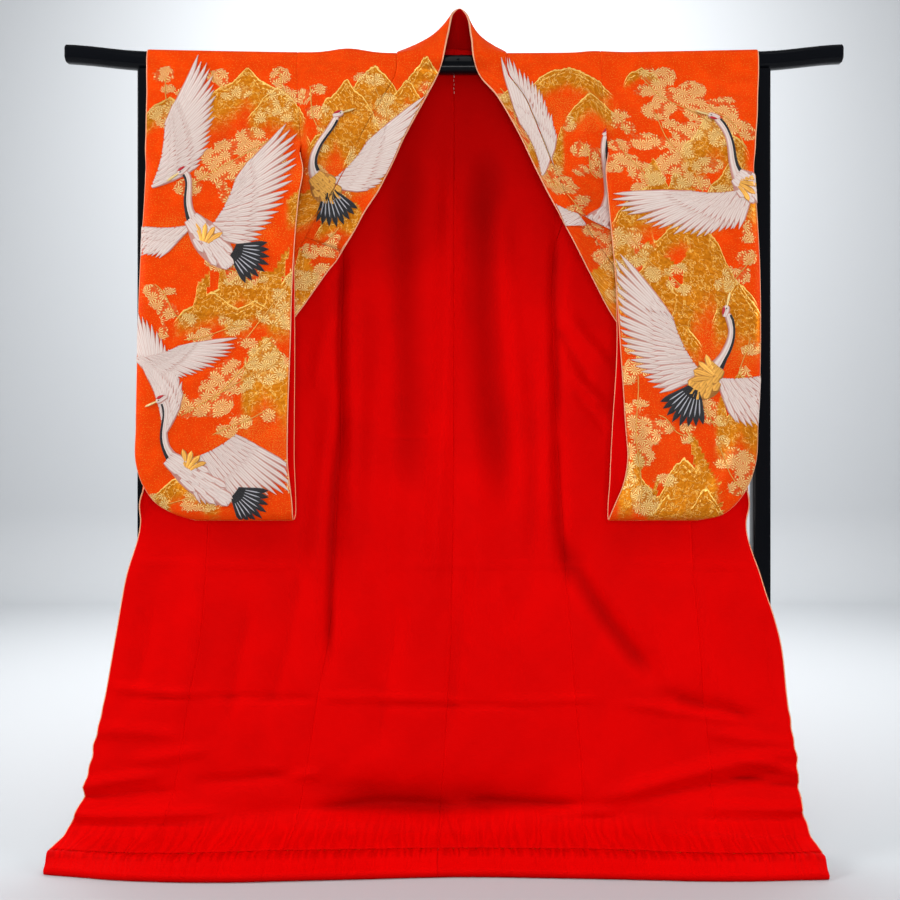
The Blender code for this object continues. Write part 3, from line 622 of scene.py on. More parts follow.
CLOSE_UP = 0.00035  # what every side edge gains, so that no light falls through a seam
EDGE_STEPS = (0.0014, 0.0036)  # distances from a seam at which the drawn-in cloth has its points
ROW_GAPS = mean_gaps(back_grid(-1)[:, :1])  # one spacing of rows for all body panels, so that seams meet
BODY_STEP, SLEEVE_STEP = 0.0082, 0.0072


class Cloth:
    """A smooth sheet of points with its outer normals and its own lengths across and along."""

    def __init__(self, grid, outside, step, row_gaps=None):
        gaps = mean_gaps(grid) if row_gaps is None else row_gaps
        tall = curve_through(grid, gaps, stops_between(gaps, step))
        turned = tall.transpose(1, 0, 2)
        gaps = mean_gaps(turned)
        fine = curve_through(turned, gaps, with_edges(stops_between(gaps, step)))
        self.points, self.outside = fine.transpose(1, 0, 2).copy(), outside
        for end, beside in ((0, 1), (-1, -2)):  # sewn edges close up
            off = self.points[:, end] - self.points[:, beside]
            apart = np.maximum(np.linalg.norm(off, axis=1, keepdims=True), 1e-6)
            self.points[:, end] += off * (CLOSE_UP / apart)
        self.measure()

    def measure(self):
        """Works out normals and lengths again, after the points have been moved."""
        steps_across = np.linalg.norm(np.diff(self.points, axis=1), axis=2)
        steps_along = np.linalg.norm(np.diff(self.points, axis=0), axis=2)
        rows, columns = self.points.shape[:2]
        self.across = np.concatenate([np.zeros((rows, 1)), np.cumsum(steps_across, axis=1)], axis=1)
        self.along = np.concatenate([np.zeros((1, columns)), np.cumsum(steps_along, axis=0)], axis=0)
        facing = np.cross(np.gradient(self.points, axis=0), np.gradient(self.points, axis=1)) * self.outside
        self.facing = unit(facing)


# ---------------------------------------------------------------- creases, placed one by one
# Each crease runs from one point to another, across and up. half: its half-width. rise: how far it stands
# towards the front, or with a minus how far it falls back. On the body the upright folds come first, then
# the slanting folds on the right, the long level creases of storage, the bend above the hem and buckles.
BODY_CREASES = columns("x0 z0 x1 z1 half rise", """
-.243 1.34 -.243 .78 .013 -.017
-.243 .96 -.276 .33 .015 -.016
-.222 1.24 -.226 .56 .016 .006
.228 1.38 .22 .86 .014 -.0125
.221 .94 .24 .52 .015 -.0115
.205 1.2 .206 .64 .016 .0055
-.08 1.6 -.118 .66 .054 -.015
-.006 1.6 -.04 .44 .02 .013
.056 1.6 .118 .62 .056 -.0185
.11 1.47 .14 .6 .022 .0085
-.16 1.3 -.2 .33 .03 .009
-.3 1 -.33 .5 .022 -.006
.16 1.12 .18 .48 .022 -.007
.02 .7 0 .18 .02 -.007
.1 .64 .13 .19 .024 .007
-.12 .56 -.16 .18 .024 -.0065
-.33 .62 -.4 .25 .024 -.007
-.52 .64 -.6 .25 .03 .008
-.44 .56 -.48 .22 .022 -.007
-.64 .56 -.69 .26 .02 -.006
.5 .62 .59 .24 .028 .0085
.42 .56 .47 .2 .02 .006
.64 .52 .69 .26 .02 -.006
.222 .68 .44 .331 .03 -.018
.42 .345 .66 .262 .018 -.014
.255 .65 .44 .36 .016 .007
.24 1.158 .335 1.013 .013 .008
.226 1.13 .3 .985 .012 -.008
.247 1.03 .325 .93 .012 .007
.262 .98 .33 .88 .01 -.005
-.262 1.16 -.3 .96 .014 .006
-.74 .352 -.5 .33 .008 .0075
-.7 .334 -.24 .316 .006 -.006
-.33 .325 .06 .314 .006 .0055
-.2 .306 .2 .3 .006 -.0035
.08 .316 .33 .322 .006 .005
.33 .312 .68 .276 .008 .007
-.72 .615 -.26 .6 .005 .0028
-.2 .608 .36 .6 .005 .0026
.3 .61 .66 .602 .005 .0028
-.26 .885 .06 .88 .005 .0022
-.33 .088 .05 .083 .015 -.015
0 .083 .3 .102 .015 -.014
-.42 .126 .32 .122 .04 -.01
-.27 .112 .15 .106 .032 -.009
-.42 .07 .19 .066 .01 .01
.15 .068 .36 .092 .01 .01
.28 .112 .76 .232 .014 .012
.34 .094 .74 .196 .01 -.0085
-.3 .05 .43 .052 .005 .0045
-.2 .047 .2 .047 .004 -.003
-.8 .262 -.56 .252 .014 .0065
-.56 .15 -.3 .168 .012 -.008
-.42 .178 -.27 .16 .01 .006
-.83 .15 -.6 .166 .009 .011
-.83 .128 -.56 .13 .007 -.0095
-.84 .102 -.46 .084 .007 .011
-.84 .08 -.5 .062 .006 -.008
-.7 .205 -.5 .212 .012 .006
.8 .166 .58 .205 .008 .011
.8 .142 .56 .16 .007 -.0095
.8 .116 .5 .098 .008 .011
.78 .092 .46 .076 .006 -.007
.78 .066 .4 .058 .006 .007
.52 .25 .74 .24 .01 .0065""")
SLEEVE_CREASES = columns("x0 z0 x1 z1 half rise", """
-.64 1.14 -.33 1.122 .006 .0022
-.64 1.128 -.34 1.112 .005 -.0018
-.63 1.6 -.56 1.42 .02 .0045
-.345 1.56 -.4 1.38 .016 .004
-.5 1.62 -.47 1.45 .026 -.004
-.64 .96 -.48 .93 .014 .0025
-.36 .9 -.42 .74 .018 .0035
-.6 .86 -.52 .745 .018 -.003
.33 1.6 .48 1.5 .016 .004
.325 1.52 .44 1.43 .014 -.0035
.62 1.6 .56 1.44 .018 .0035
.345 1.14 .62 1.118 .006 .0022
.35 1.128 .62 1.106 .005 -.0018
.35 .93 .4 .73 .02 .0045
.37 .88 .52 .8 .014 -.0025
.6 .9 .53 .74 .016 .003""")
CHEST_CREASES = columns("x0 z0 x1 z1 half rise", """
.175 1.59 .232 1.528 .009 .0035
.155 1.6 .215 1.535 .007 -.003
.13 1.64 .2 1.575 .01 .003
.29 1.56 .262 1.43 .012 .003
-.3 1.56 -.25 1.44 .014 .003
-.24 1.63 -.2 1.54 .012 -.0025
-.16 1.64 -.2 1.59 .01 .002""")


def crease_depth(table, x, z):
    """How far the creases of a table lift the cloth at each of the places x, z."""
    lifted = np.zeros_like(x)
    for x0, z0, x1, z1, half, rise in zip(*table.values()):
        long = math.hypot(x1 - x0, z1 - z0)
        run = ((x - x0) * (x1 - x0) + (z - z0) * (z1 - z0)) / long**2
        off = ((x - x0) * (z1 - z0) - (z - z0) * (x1 - x0)) / long
        bend = 0.35 * half * np.sin(run * 5.0 + x0 * 40.0)  # no crease is quite straight
        ends = np.clip(run * 4, 0, 1) * np.clip((1 - run) * 4, 0, 1)
        ends = ends * ends * (3 - 2 * ends)
        lifted += rise * ends * np.exp(-(((off + bend) / half) ** 2))
    return lifted


def fade(values, low, high):
    """0 below low, 1 above high, for whole arrays."""
    t = np.clip((values - low) / (high - low), 0, 1)
    return t * t * (3 - 2 * t)


# A faint unevenness all over: its height, then the waves that shape it.
BODY_RIPPLE, SLEEVE_RIPPLE = (0.0009, 61, 3, 17, 23, 9), (0.0007, 53, 2, 21, 29, 12)


def ripple(x, z, height, across, bend, bend_up, up, slant):
    return height * np.sin(x * across + bend * np.sin(z * bend_up)) * np.sin(z * up + x * slant)


def crease_body(cloth):
    x, z = cloth.points[..., 0], cloth.points[..., 2]
    shown = fade(z, 0.036, 0.060) * (1 - fade(z, 1.60, 1.66))
    upper = fade(z, 1.30, 1.38) * (cloth.points[..., 1] < -0.015)
    folds = crease_depth(BODY_CREASES, x, z) * shown * (1 - upper)
    cloth.points[..., 1] -= folds
    # deep is painted shade: darker in the troughs of the folds and towards the top of the lining
    cloth.deep = np.clip((-folds - 0.005) / 0.018, 0, 1) * 0.54 + fade(z, 1.05, 1.60) * 0.38
    cloth.points[..., 1] -= crease_depth(CHEST_CREASES, x, z) * shown * upper
    cloth.points[..., 1] -= ripple(x, z, *BODY_RIPPLE) * shown
    buckled = fade(np.abs(x), 0.50, 0.76) * fade(z, 0.040, 0.070) * (1 - fade(z, 0.24, 0.34))
    bulge = np.sin(z * 150 + 2 * np.sign(x)) + 0.8 * np.sin(z * 87 + 1.0 + np.sign(x))
    cloth.points[..., 0] += np.sign(x) * 0.0015 * bulge * buckled
    cloth.measure()


def crease_sleeve(cloth):
    x, z = cloth.points[..., 0], cloth.points[..., 2]
    shown = 1 - fade(z, 1.62, 1.67)
    folds = crease_depth(SLEEVE_CREASES, x, z) * shown
    cloth.points[..., 1] -= folds
    # deep is painted shade: darker in the troughs of the sleeve's folds
    cloth.deep = np.clip(-folds / 0.020, 0, 1) * 0.56
    cloth.points[..., 1] -= ripple(x, z, *SLEEVE_RIPPLE) * shown
    cloth.measure()


# ---------------------------------------------------------------- materials
class Value:
    """A socket of a finish. The usual operators on it add Math nodes."""

    def __init__(self, finish, socket):
        self.finish, self.socket = finish, socket

    def _math(self, operation, *values):
        return self.finish.node("ShaderNodeMath", dict(enumerate(values)), operation=operation)

    def __add__(self, other):
        return self._math("ADD", self, other)

    def __sub__(self, other):
        return self._math("SUBTRACT", self, other)

    def __rsub__(self, other):
        return self._math("SUBTRACT", other, self)

    def __mul__(self, other):
        return self._math("MULTIPLY", self, other)

    def __abs__(self):
        return self._math("ABSOLUTE", self)

    __radd__, __rmul__ = __add__, __mul__

    def sine(self):
        return self._math("SINE", self)

    def least(self, other):
        return self._math("MINIMUM", self, other)

    def most(self, other):
        return self._math("MAXIMUM", self, other)

    def step(self, low, high):
        """0 below low and 1 above high, with a smooth rise between them."""
        places = {"Value": self, "From Min": low, "From Max": high}
        return self.finish.node("ShaderNodeMapRange", places, interpolation_type="SMOOTHSTEP")


class Finish:
    """A material under construction."""

    def __init__(self, name):
        self.material = bpy.data.materials.new(name)
        self.material.use_nodes = True
        self.nodes, self.links = self.material.node_tree.nodes, self.material.node_tree.links
        self.shader = self.nodes["Principled BSDF"]

    def put(self, socket, value):
        if isinstance(value, Value):
            self.links.new(value.socket, socket)
        elif isinstance(value, tuple) and len(value) == 3 and socket.type == "RGBA":
            socket.default_value = (*value, 1.0)
        else:
            socket.default_value = value

    def node(self, kind, values=(), output=0, **settings):
        """Adds a node. Its settings are set first, then the values or links of its sockets."""
        made = self.nodes.new(kind)
        for key, setting in settings.items():
            setattr(made, key, setting)
        for key, value in dict(values).items():
            self.put(made.inputs[key], value)
        return Value(self, made.outputs[output])

    def blend(self, share, first, second, way="MIX"):
        """Mixes two colours."""
        places = {0: share, 6: first, 7: second}
        return self.node("ShaderNodeMix", places, output=2, data_type="RGBA", blend_type=way)

    def vector(self, operation, first, second):
        return self.node("ShaderNodeVectorMath", {0: first, 1: second}, operation=operation)

    def noise(self, where, scale, detail=2.0, rough=0.5):
        places = {"Vector": where, "Scale": scale, "Detail": detail, "Roughness": rough}
        return self.node("ShaderNodeTexNoise", places)

    def attribute(self, name):
        return self.node("ShaderNodeAttribute", output="Fac", attribute_name=name)

    def uv(self):
        return self.node("ShaderNodeUVMap", uv_map="cloth")

    def parts(self, where):
        """The single coordinates of a vector."""
        split = self.node("ShaderNodeSeparateXYZ", {0: where})
        made = split.socket.node
        return [Value(self, made.outputs[k]) for k in range(3)]

    def relief(self, height, distance, strength=1.0):
        """Height in units of distance, as a bump on the shader's normal."""
        bump = self.node("ShaderNodeBump", {"Height": height, "Distance": distance, "Strength": strength})
        self.put(self.shader.inputs["Normal"], bump)

    def finish(self, **values):
        """Sets the shader's sockets, named with _ for a space."""
        for key, value in values.items():
            self.put(self.shader.inputs[key.replace("_", " ")], value)
        return self.material


def weave(made, where, across, along):
    """Height of a plain weave with so many threads a metre."""
    x, y, _ = made.parts(where)
    return (x * (across * math.pi)).sine() * (y * (along * math.pi)).sine()


def red_silk():
    """The lining: plain soft silk with slubs, a faint weave and a low sheen.

    gather and deep are painted on it: where it is puckered, with painted shade in the puckers' hollows, and
    deep as painted shade in its folds and near its top.
    """
    made = Finish("red_silk_lining")
    uv = made.uv()
    slub = made.noise(made.vector("MULTIPLY", uv, (40.0, 700.0, 1.0)), 1.0, 3.0)
    cloudy = made.noise(uv, 7.0, 3.0)
    soft = made.noise(uv, 38.0, 3.0)
    colour = made.blend(cloudy.step(0.3, 0.75), (0.58, 0.0, 0.0), (0.67, 0.0, 0.0))
    colour = made.blend((slub - 0.5) * 0.5 + 0.25, colour, (0.78, 0.001, 0.001))
    # painted shade: darker red where deep is painted
    colour = made.blend(made.attribute("deep"), colour, (0.16, 0.0, 0.0))
    gather = made.attribute("gather")
    uneven = made.noise(made.vector("MULTIPLY", uv, (34.0, 7.0, 1.0)), 1.0, 2.0)
    puckers = (made.parts(uv)[0] * 330.0 + uneven * 24.0).sine() * (uneven * 1.6 - 0.1)
    # painted shade in the hollows of the puckers, where gather is painted
    colour = made.blend((0.6 - puckers) * gather * 0.30, colour, (0.24, 0.0, 0.0))
    height = weave(made, uv, 900, 900) * 0.12 + slub * 0.25 + soft * 1.2 + puckers * gather * 3.0
    made.relief(height, 0.0006, 0.55)
    return made.finish(
        Base_Color=colour,
        Roughness=cloudy * 0.12 + 0.55,
        Sheen_Weight=0.10,
        Sheen_Roughness=0.4,
        Sheen_Tint=(1.0, 0.0, 0.0),
        Specular_IOR_Level=0.015,
    )


def brocade():
    """Vermilion silk figured with satin mountains, pine boughs and gold dust.

    far, near, bough and mist are painted on the cloth. The first three are distances in metres, above 0
    inside a figure, and far_glow and near_glow say how strongly the mountains show.
    """
    made = Finish("brocade")
    uv = made.uv()
    coarse, fine = made.noise(uv, 26.0, 3.0), made.noise(uv, 170.0, 3.0)
    grain = made.noise(uv, 620.0, 2.0)
    mist = made.attribute("mist")

    ground = made.blend(coarse.step(0.35, 0.7), (0.71, 0.041, 0.001), (0.79, 0.050, 0.001))
    dust = (made.noise(uv, 430.0, 1.0) + mist * 0.08).step(0.60, 0.68)
    ground = made.blend(dust * 0.5, ground, (0.66, 0.28, 0.03))
    silk_threads = weave(made, uv, 700, 700) * 0.06

    crinkle = made.noise(uv, 62.0, 4.0, 0.65)
    squiggle = 1 - abs(made.noise(uv, 44.0, 3.0, 0.6) - 0.5).step(0.006, 0.022)
    satin = made.blend(fine.step(0.35, 0.7), (0.46, 0.125, 0.004), (0.62, 0.21, 0.010))
    # painted highlight: the satin is painted brighter gold where the crinkle rises
    satin = made.blend(crinkle.step(0.56, 0.70) * 0.5, satin, (0.90, 0.44, 0.06))
    colour, height, gilt = ground, silk_threads, dust * 0.2
    for mountains in ("far", "near"):
        deep = made.attribute(mountains) + (coarse - 0.5) * 0.016 + (fine - 0.5) * 0.004
        glow = made.attribute(mountains + "_glow")
        inside_it = deep.step(0.0, 0.0012)
        shown = inside_it * (glow + (crinkle - 0.5) * 0.5).step(0.02, 0.75)
        crest = (1 - abs(deep - 0.0022).step(0.0005, 0.0016)).most(
            (1 - abs(deep - 0.0100).step(0.0004, 0.0013)) * fine.step(0.46, 0.54)
        )
        crest = (crest * inside_it * glow.step(0.1, 0.4)).most(squiggle * shown * 0.55)
        colour = made.blend(shown, colour, satin)
        colour = made.blend(crest * 0.9, colour, (0.96, 0.62, 0.16))
        height = height + shown * crinkle * 1.1 + crest * 0.8
        gilt = gilt.most(shown * 0.45).most(crest * 0.75)

    places = {"Vector": uv, "Scale": 50.0, "Randomness": 0.9}
    cell = made.node("ShaderNodeTexVoronoi", places, "Position", voronoi_dimensions="2D")
    from_x, from_y, _ = made.parts(made.vector("SUBTRACT", uv, cell))
    turn = from_y._math("ARCTAN2", from_y, from_x)
    needles = (turn * 11.0 + fine * 5.0).sine().step(-0.2, 0.35)
    rim = Value(made, cell.socket.node.outputs["Distance"]).step(0.50, 0.66)
    bough = made.attribute("bough") + (fine - 0.5) * 0.016 + (coarse - 0.5) * 0.010
    twig = 1 - abs(made.noise(uv, 250.0, 2.0) - 0.5).step(0.02, 0.06)
    tuft = made.blend(needles * (1 - rim * 0.8), (0.46, 0.12, 0.006), (0.80, 0.56, 0.20))
    tuft = made.blend(grain.step(0.54, 0.66).most(twig) * 0.5, tuft, (0.86, 0.66, 0.29))
    on_bough = bough.step(0.0, 0.0016)
    colour = made.blend(on_bough * (needles * 0.6 + 0.4) * (1 - rim * 0.7), colour, tuft)
    height = height * (1 - on_bough) + on_bough * (needles * 0.8 + 0.7)
    made.relief(height + fine * 0.25, 0.0008, 0.7)
    return made.finish(
        Base_Color=colour,
        Metallic=(gilt * (1 - on_bough) + on_bough * 0.38).least(0.8),
        Roughness=0.46 - gilt * 0.14 + (grain - 0.5) * 0.12,
        Sheen_Weight=0.01,
        Sheen_Tint=(1.0, 0.2, 0.02),
        Specular_IOR_Level=0.02,
    )


def thread(name, colour, edge, metal=0.0, rough=0.45, shade=0.9):
    """Satin stitch: fine slanting stitches, darker where two feathers meet."""
    made = Finish(name)
    across, along, _ = made.parts(made.uv())
    stitches = (along * 900.0 + across * 60.0).sine()
    border = abs(across - 0.5).step(0.22, 0.42)
    spine = 1 - abs(across - 0.5).step(0.02, 0.10)
    tone = made.blend(border * shade, colour, edge)
    tone = made.blend(spine * 0.35, tone, edge)
    # painted highlight: a faint lighter tone along the ridges of the stitches
    tone = made.blend(stitches * 0.02 + 0.02, tone, (1.0, 0.97, 0.93))
    made.relief(stitches * 0.5 - border, 0.0003, 0.6)
    return made.finish(Base_Color=tone, Metallic=metal, Roughness=rough, Specular_IOR_Level=0.1)


def lacquer():
    """Black urushi, polished, with the faintest waves and dust of age."""
    made = Finish("black_lacquer")
    where = made.node("ShaderNodeTexCoord", output="Object")
    wave = made.noise(where, 6.0, 2.0)
    dust = made.noise(where, 260.0, 2.0).step(0.66, 0.80)
    made.relief(wave, 0.0006, 0.25)
    return made.finish(
        Base_Color=made.blend(dust * 0.05, (0.003, 0.0035, 0.005), (0.08, 0.08, 0.08)),
        Roughness=wave * 0.05 + dust * 0.12 + 0.12,
        Specular_IOR_Level=0.08,
        Coat_Weight=0.05,
        Coat_Roughness=0.06,
    )


BROCADE, RED_SILK, LACQUER = brocade(), red_silk(), lacquer()
SILKS = {"brocade": BROCADE, "red_silk": RED_SILK}  # by slot
WHITE_THREAD = thread("white_thread", (0.68, 0.57, 0.52), (0.46, 0.17, 0.13))
GREY_THREAD = thread("grey_thread", (0.46, 0.46, 0.50), (0.16, 0.15, 0.18))
BLACK_THREAD = thread("black_thread", (0.004, 0.004, 0.006), (0.02, 0.02, 0.025), rough=0.5)
GOLD_THREAD = thread("gold_thread", (0.78, 0.38, 0.06), (0.36, 0.13, 0.02), metal=0.6, rough=0.4)
PALE_GOLD = thread("pale_gold_thread", (0.82, 0.62, 0.27), (0.45, 0.27, 0.07), metal=0.55, rough=0.4)
RED_THREAD = thread("red_thread", (0.55, 0.01, 0.02), (0.30, 0.0, 0.01))
CORAL_CORD = thread("coral_piping", (0.86, 0.42, 0.24), (0.74, 0.20, 0.08), rough=0.5)


# ---------------------------------------------------------------- figures of the brocade
# Mountains: the peak, half the width at its foot and the height. far ones stand behind near ones.
FRONT_FAR = columns("x z half height", """
-.44 1.668 .11 .1
-.6 1.6 .06 .06
-.44 1.215 .12 .08
-.39 1.04 .06 .08
-.56 .8 .09 .06
-.17 1.68 .08 .11
-.25 1.56 .07 .08
-.28 1.38 .08 .05
-.06 1.69 .05 .06
.24 1.672 .11 .06
.13 1.64 .05 .06
.54 1.56 .08 .1
.42 1.42 .11 .1
.53 1.272 .11 .13
.4 1.24 .08 .08
.59 .96 .06 .08
.475 .845 .085 .14
.38 .8 .05 .06
-.33 1.23 .07 .09
.35 1.24 .09 .09""")
FRONT_NEAR = columns("x z half height", """
-.375 1.625 .07 .07
-.5 1.178 .09 .06
-.41 1.165 .08 .055
-.23 1.64 .07 .08
-.185 1.545 .055 .09
-.24 1.35 .06 .04
.29 1.61 .06 .05
.58 1.46 .07 .09
.47 1.33 .07 .06
.4 1.668 .045 .03
.585 1.2 .06 .08
.45 1.13 .07 .06
.44 .765 .05 .08
.52 .775 .05 .07
-.62 .74 .04 .04
-.1 1.64 .04 .05
.19 1.53 .05 .06""")
FRONT_BOUGHS = columns("x0 z0 x1 z1 size count", """
-.54 1.4 -.385 1.505 .032 16
-.47 1.37 -.39 1.44 .022 7
-.52 1.655 -.465 1.59 .019 6
-.38 1.66 -.345 1.59 .02 7
-.615 1.64 -.585 1.53 .022 7
-.5 1.235 -.355 1.2 .022 9
-.62 1.19 -.56 1.12 .02 6
-.56 1.075 -.42 1.11 .019 7
-.56 .925 -.35 1.04 .032 18
-.5 .88 -.39 .93 .022 6
-.63 .735 -.46 .76 .022 9
-.43 .73 -.35 .83 .02 7
.395 1.64 .575 1.5 .03 15
.42 1.56 .52 1.38 .03 12
.35 1.5 .42 1.36 .025 10
.345 1.56 .37 1.52 .02 4
.54 1.58 .61 1.48 .022 7
.6 1.44 .56 1.33 .02 6
.35 1.3 .47 1.18 .022 10
.56 1.18 .62 1.25 .02 6
.376 1 .384 .72 .028 17
.42 .92 .48 .88 .02 5
.54 .86 .6 .76 .024 8
.35 1.09 .43 1.04 .022 7
.61 1.08 .56 .9 .018 7
-.31 1.62 -.28 1.5 .02 7
-.17 1.65 -.13 1.5 .023 10
-.3 1.44 -.24 1.39 .02 6
-.25 1.27 -.37 1.11 .026 12
-.38 1.08 -.5 .95 .022 9
.15 1.56 .215 1.4 .022 10
.27 1.5 .3 1.42 .02 6
.21 1.42 .33 1.26 .022 10
.3 1.3 .4 1.12 .024 10
.43 1.06 .54 .9 .022 9
-.05 1.63 -.13 1.48 .02 8
-.24 1.32 -.43 1.08 .018 8
.1 1.62 .16 1.48 .016 6""")
FRONT_FIRS = columns("x z height", """
-.382 1.585 .052
-.352 1.566 .046
-.41 1.56 .038
-.335 .79 .05
.36 1.01 .05
.605 1.3 .044
.35 .845 .056
-.6 1.1 .04
-.215 1.47 .044
.245 1.545 .042""")
BACK_FAR = columns("x z half height", """
-.13 .48 .2 .13
.08 .54 .19 .15
.33 .44 .19 .12
-.38 .4 .18 .12
-.61 .33 .14 .09
.61 .36 .15 .11
-.05 1 .15 .09
.2 1.56 .12 .08
-.19 1.24 .11 .08
-.56 1.12 .11 .08
-.44 1.62 .11 .08
.45 1.24 .12 .09
.56 1.62 .1 .07
.48 .9 .11 .08
-.47 .82 .09 .07""")
BACK_NEAR = columns("x z half height", """
-.23 .38 .13 .09
.18 .41 .14 .1
-.02 .34 .13 .08
.45 .33 .12 .08
-.5 .27 .12 .07
.04 .93 .1 .06
.26 1.48 .08 .06
-.13 1.17 .08 .06
-.5 1.06 .08 .06
.4 1.17 .08 .06
.54 .84 .08 .06""")
BACK_BOUGHS = columns("x0 z0 x1 z1 size count", """
-.28 1.58 -.04 1.4 .032 22
.06 1.35 .28 1.24 .032 18
-.26 .88 -.06 .76 .033 19
.08 .78 .29 .66 .033 19
-.38 .6 -.16 .5 .034 18
.3 .52 .56 .6 .034 19
-.62 .56 -.44 .64 .03 14
-.7 .2 -.48 .14 .03 15
.5 .18 .7 .24 .03 15
-.1 .21 .12 .16 .028 16
.18 .21 .36 .17 .028 14
-.36 .2 -.2 .24 .028 13
-.62 1.56 -.48 1.38 .028 15
-.4 1.3 -.36 1.02 .026 15
-.62 .88 -.46 .78 .027 13
.36 1.6 .44 1.38 .027 15
.5 1.36 .61 1.26 .026 11
.37 1 .54 .92 .028 15
-.03 1.18 .03 1.08 .022 9
.12 1.02 .26 .9 .026 12
-.29 1.06 -.22 .98 .024 8""")
BACK_FIRS = columns("x z height", """
-.06 .58 .07
-.025 .565 .058
.26 .48 .064
.3 .47 .054
-.33 .45 .06
.14 1.58 .05
-.18 1.29 .052
.52 1.29 .05
-.52 1.17 .05""")
MIST = columns("x z half height", """
-.5 1.3 .12 .035
-.4 .86 .1 .04
.45 1.34 .12 .04
.52 1.06 .12 .04
-.22 1.42 .11 .035
.24 1.56 .09 .035
-.08 .6 .2 .05
.16 1.08 .16 .045
-.34 .36 .2 .045
.42 .62 .18 .05""")


def inside(x, z, at_x, at_z, half, height):
    """About how far inside an oval each place lies, in metres."""
    return (1 - ((x - at_x) / half) ** 2 - ((z - at_z) / height) ** 2) * min(half, height) / 2


def mountains(table, x, z):
    """How far each place lies below the skyline of a table's mountains, and how strongly they show."""
    deep, glow = np.full_like(x, -1.0), np.zeros_like(x)
    for at_x, peak, half, height in zip(*table.values()):
        away = np.abs(x - at_x) / half
        skyline = peak - height * (away + 0.05 * np.sin(away * 9 + at_x * 30))
        skyline -= 0.10 * np.clip(away - 0.55, 0, 9) ** 2
        below = (skyline - z) * half / math.hypot(half, height)
        end = height * 1.05  # its foot is lost in the ground
        deep = np.maximum(deep, below - 12 * np.clip(below - end, 0, 1))
        lit = (1 - fade(below, end * 0.05, end)) * (1 - fade(away, 0.55, 1.0))
        glow = np.maximum(glow, (below > -0.03) * lit)
    return deep, glow


def tufts(boughs, firs, x, z):
    """Boughs are small ovals scattered along each line of a table, and firs are ovals in three tiers."""
    chance, deep = random.Random(7), np.full_like(x, -1.0)
    for x0, z0, x1, z1, size, count in zip(*boughs.values()):
        for index in range(int(count)):
            run = (index + chance.random()) / count
            at_x = mix(x0, x1, run) + chance.gauss(0, size * 0.75)
            at_z = mix(z0, z1, run) + chance.gauss(0, size * 0.50)
            half = size * chance.uniform(0.65, 1.2)
            deep = np.maximum(deep, inside(x, z, at_x, at_z, half, half * chance.uniform(0.55, 0.85)))
    for at_x, at_z, height in zip(*firs.values()):
        for tier, wide in ((0.18, 0.36), (0.48, 0.27), (0.78, 0.17)):
            oval = (at_x, at_z + height * (tier - 0.5), height * wide, height * 0.24)
            deep = np.maximum(deep, inside(x, z, *oval))
    return deep


def figures(cloth):
    """The painted distances of a brocade, from one layout on the front and another on the back."""
    x, z = cloth.points[..., 0], cloth.points[..., 2]
    forward = fade(-cloth.facing[..., 1], -0.3, 0.3)
    mist = np.max([inside(x, z, *oval) for oval in zip(*MIST.values())], axis=0)
    painted = {"mist": np.clip(mist / 0.015 + 1, 0, 1)}
    behind, before = tufts(BACK_BOUGHS, BACK_FIRS, x, z), tufts(FRONT_BOUGHS, FRONT_FIRS, x, z)
    painted["bough"] = mix(behind, before, forward)
    for name, rear, front in (("far", BACK_FAR, FRONT_FAR), ("near", BACK_NEAR, FRONT_NEAR)):
        behind, before = mountains(rear, x, z), mountains(front, x, z)
        painted[name], painted[name + "_glow"] = (mix(a, b, forward) for a, b in zip(behind, before))
    return painted


# ---------------------------------------------------------------- pieces of cloth
def squares(rows, cols):
    """The faces of a grid of points."""
    index = np.arange(rows * cols).reshape(rows, cols)
    corners = (index[:-1, :-1], index[:-1, 1:], index[1:, 1:], index[1:, :-1])
    return np.stack(corners, axis=-1).reshape(-1, 4)


def ring_faces(rings, sides):
    """The walls and both ends of a solid made of rings of points."""
    index = np.arange(rings * sides).reshape(rings, sides)
    after = np.roll(index, -1, axis=1)
    walls = np.stack([index[:-1], after[:-1], after[1:], index[1:]], axis=-1).reshape(-1, 4)
    return [index[0], *walls, index[-1, ::-1]]


def piece(name, points, faces, uv, finishes, painted=(), kinds=None, closed=True):
    """A mesh on the root body, with a UV map, painted values and one or more finishes."""
    mesh = bpy.data.meshes.new(name)
    mesh.from_pydata(np.asarray(points).tolist(), [], [list(map(int, face)) for face in faces])
    layer = mesh.uv_layers.new(name="cloth")
    corners = np.empty(len(mesh.loops), dtype=np.int32)
    mesh.loops.foreach_get("vertex_index", corners)
    layer.data.foreach_set("uv", np.asarray(uv, dtype=np.float32)[corners].ravel())
    for key, values in dict(painted).items():
        made = mesh.attributes.new(key, "FLOAT", "POINT")
        made.data.foreach_set("value", np.asarray(values, dtype=np.float32).ravel())
    for finish in finishes:
        mesh.materials.append(finish)
    if kinds is not None:
        mesh.polygons.foreach_set("material_index", np.asarray(kinds, dtype=np.int32))
    if closed:
        work = bmesh.new()
        work.from_mesh(mesh)
        bmesh.ops.recalc_face_normals(work, faces=work.faces)
        work.to_mesh(mesh)
        work.free()
    mesh.shade_smooth()
    mesh.update()
    made = bpy.data.objects.new(name, mesh)
    bpy.context.collection.objects.link(made)
    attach(made, "root")
    return made


SEAM_WALL = 0.40  # share of a wall's thickness that is left at its side seams


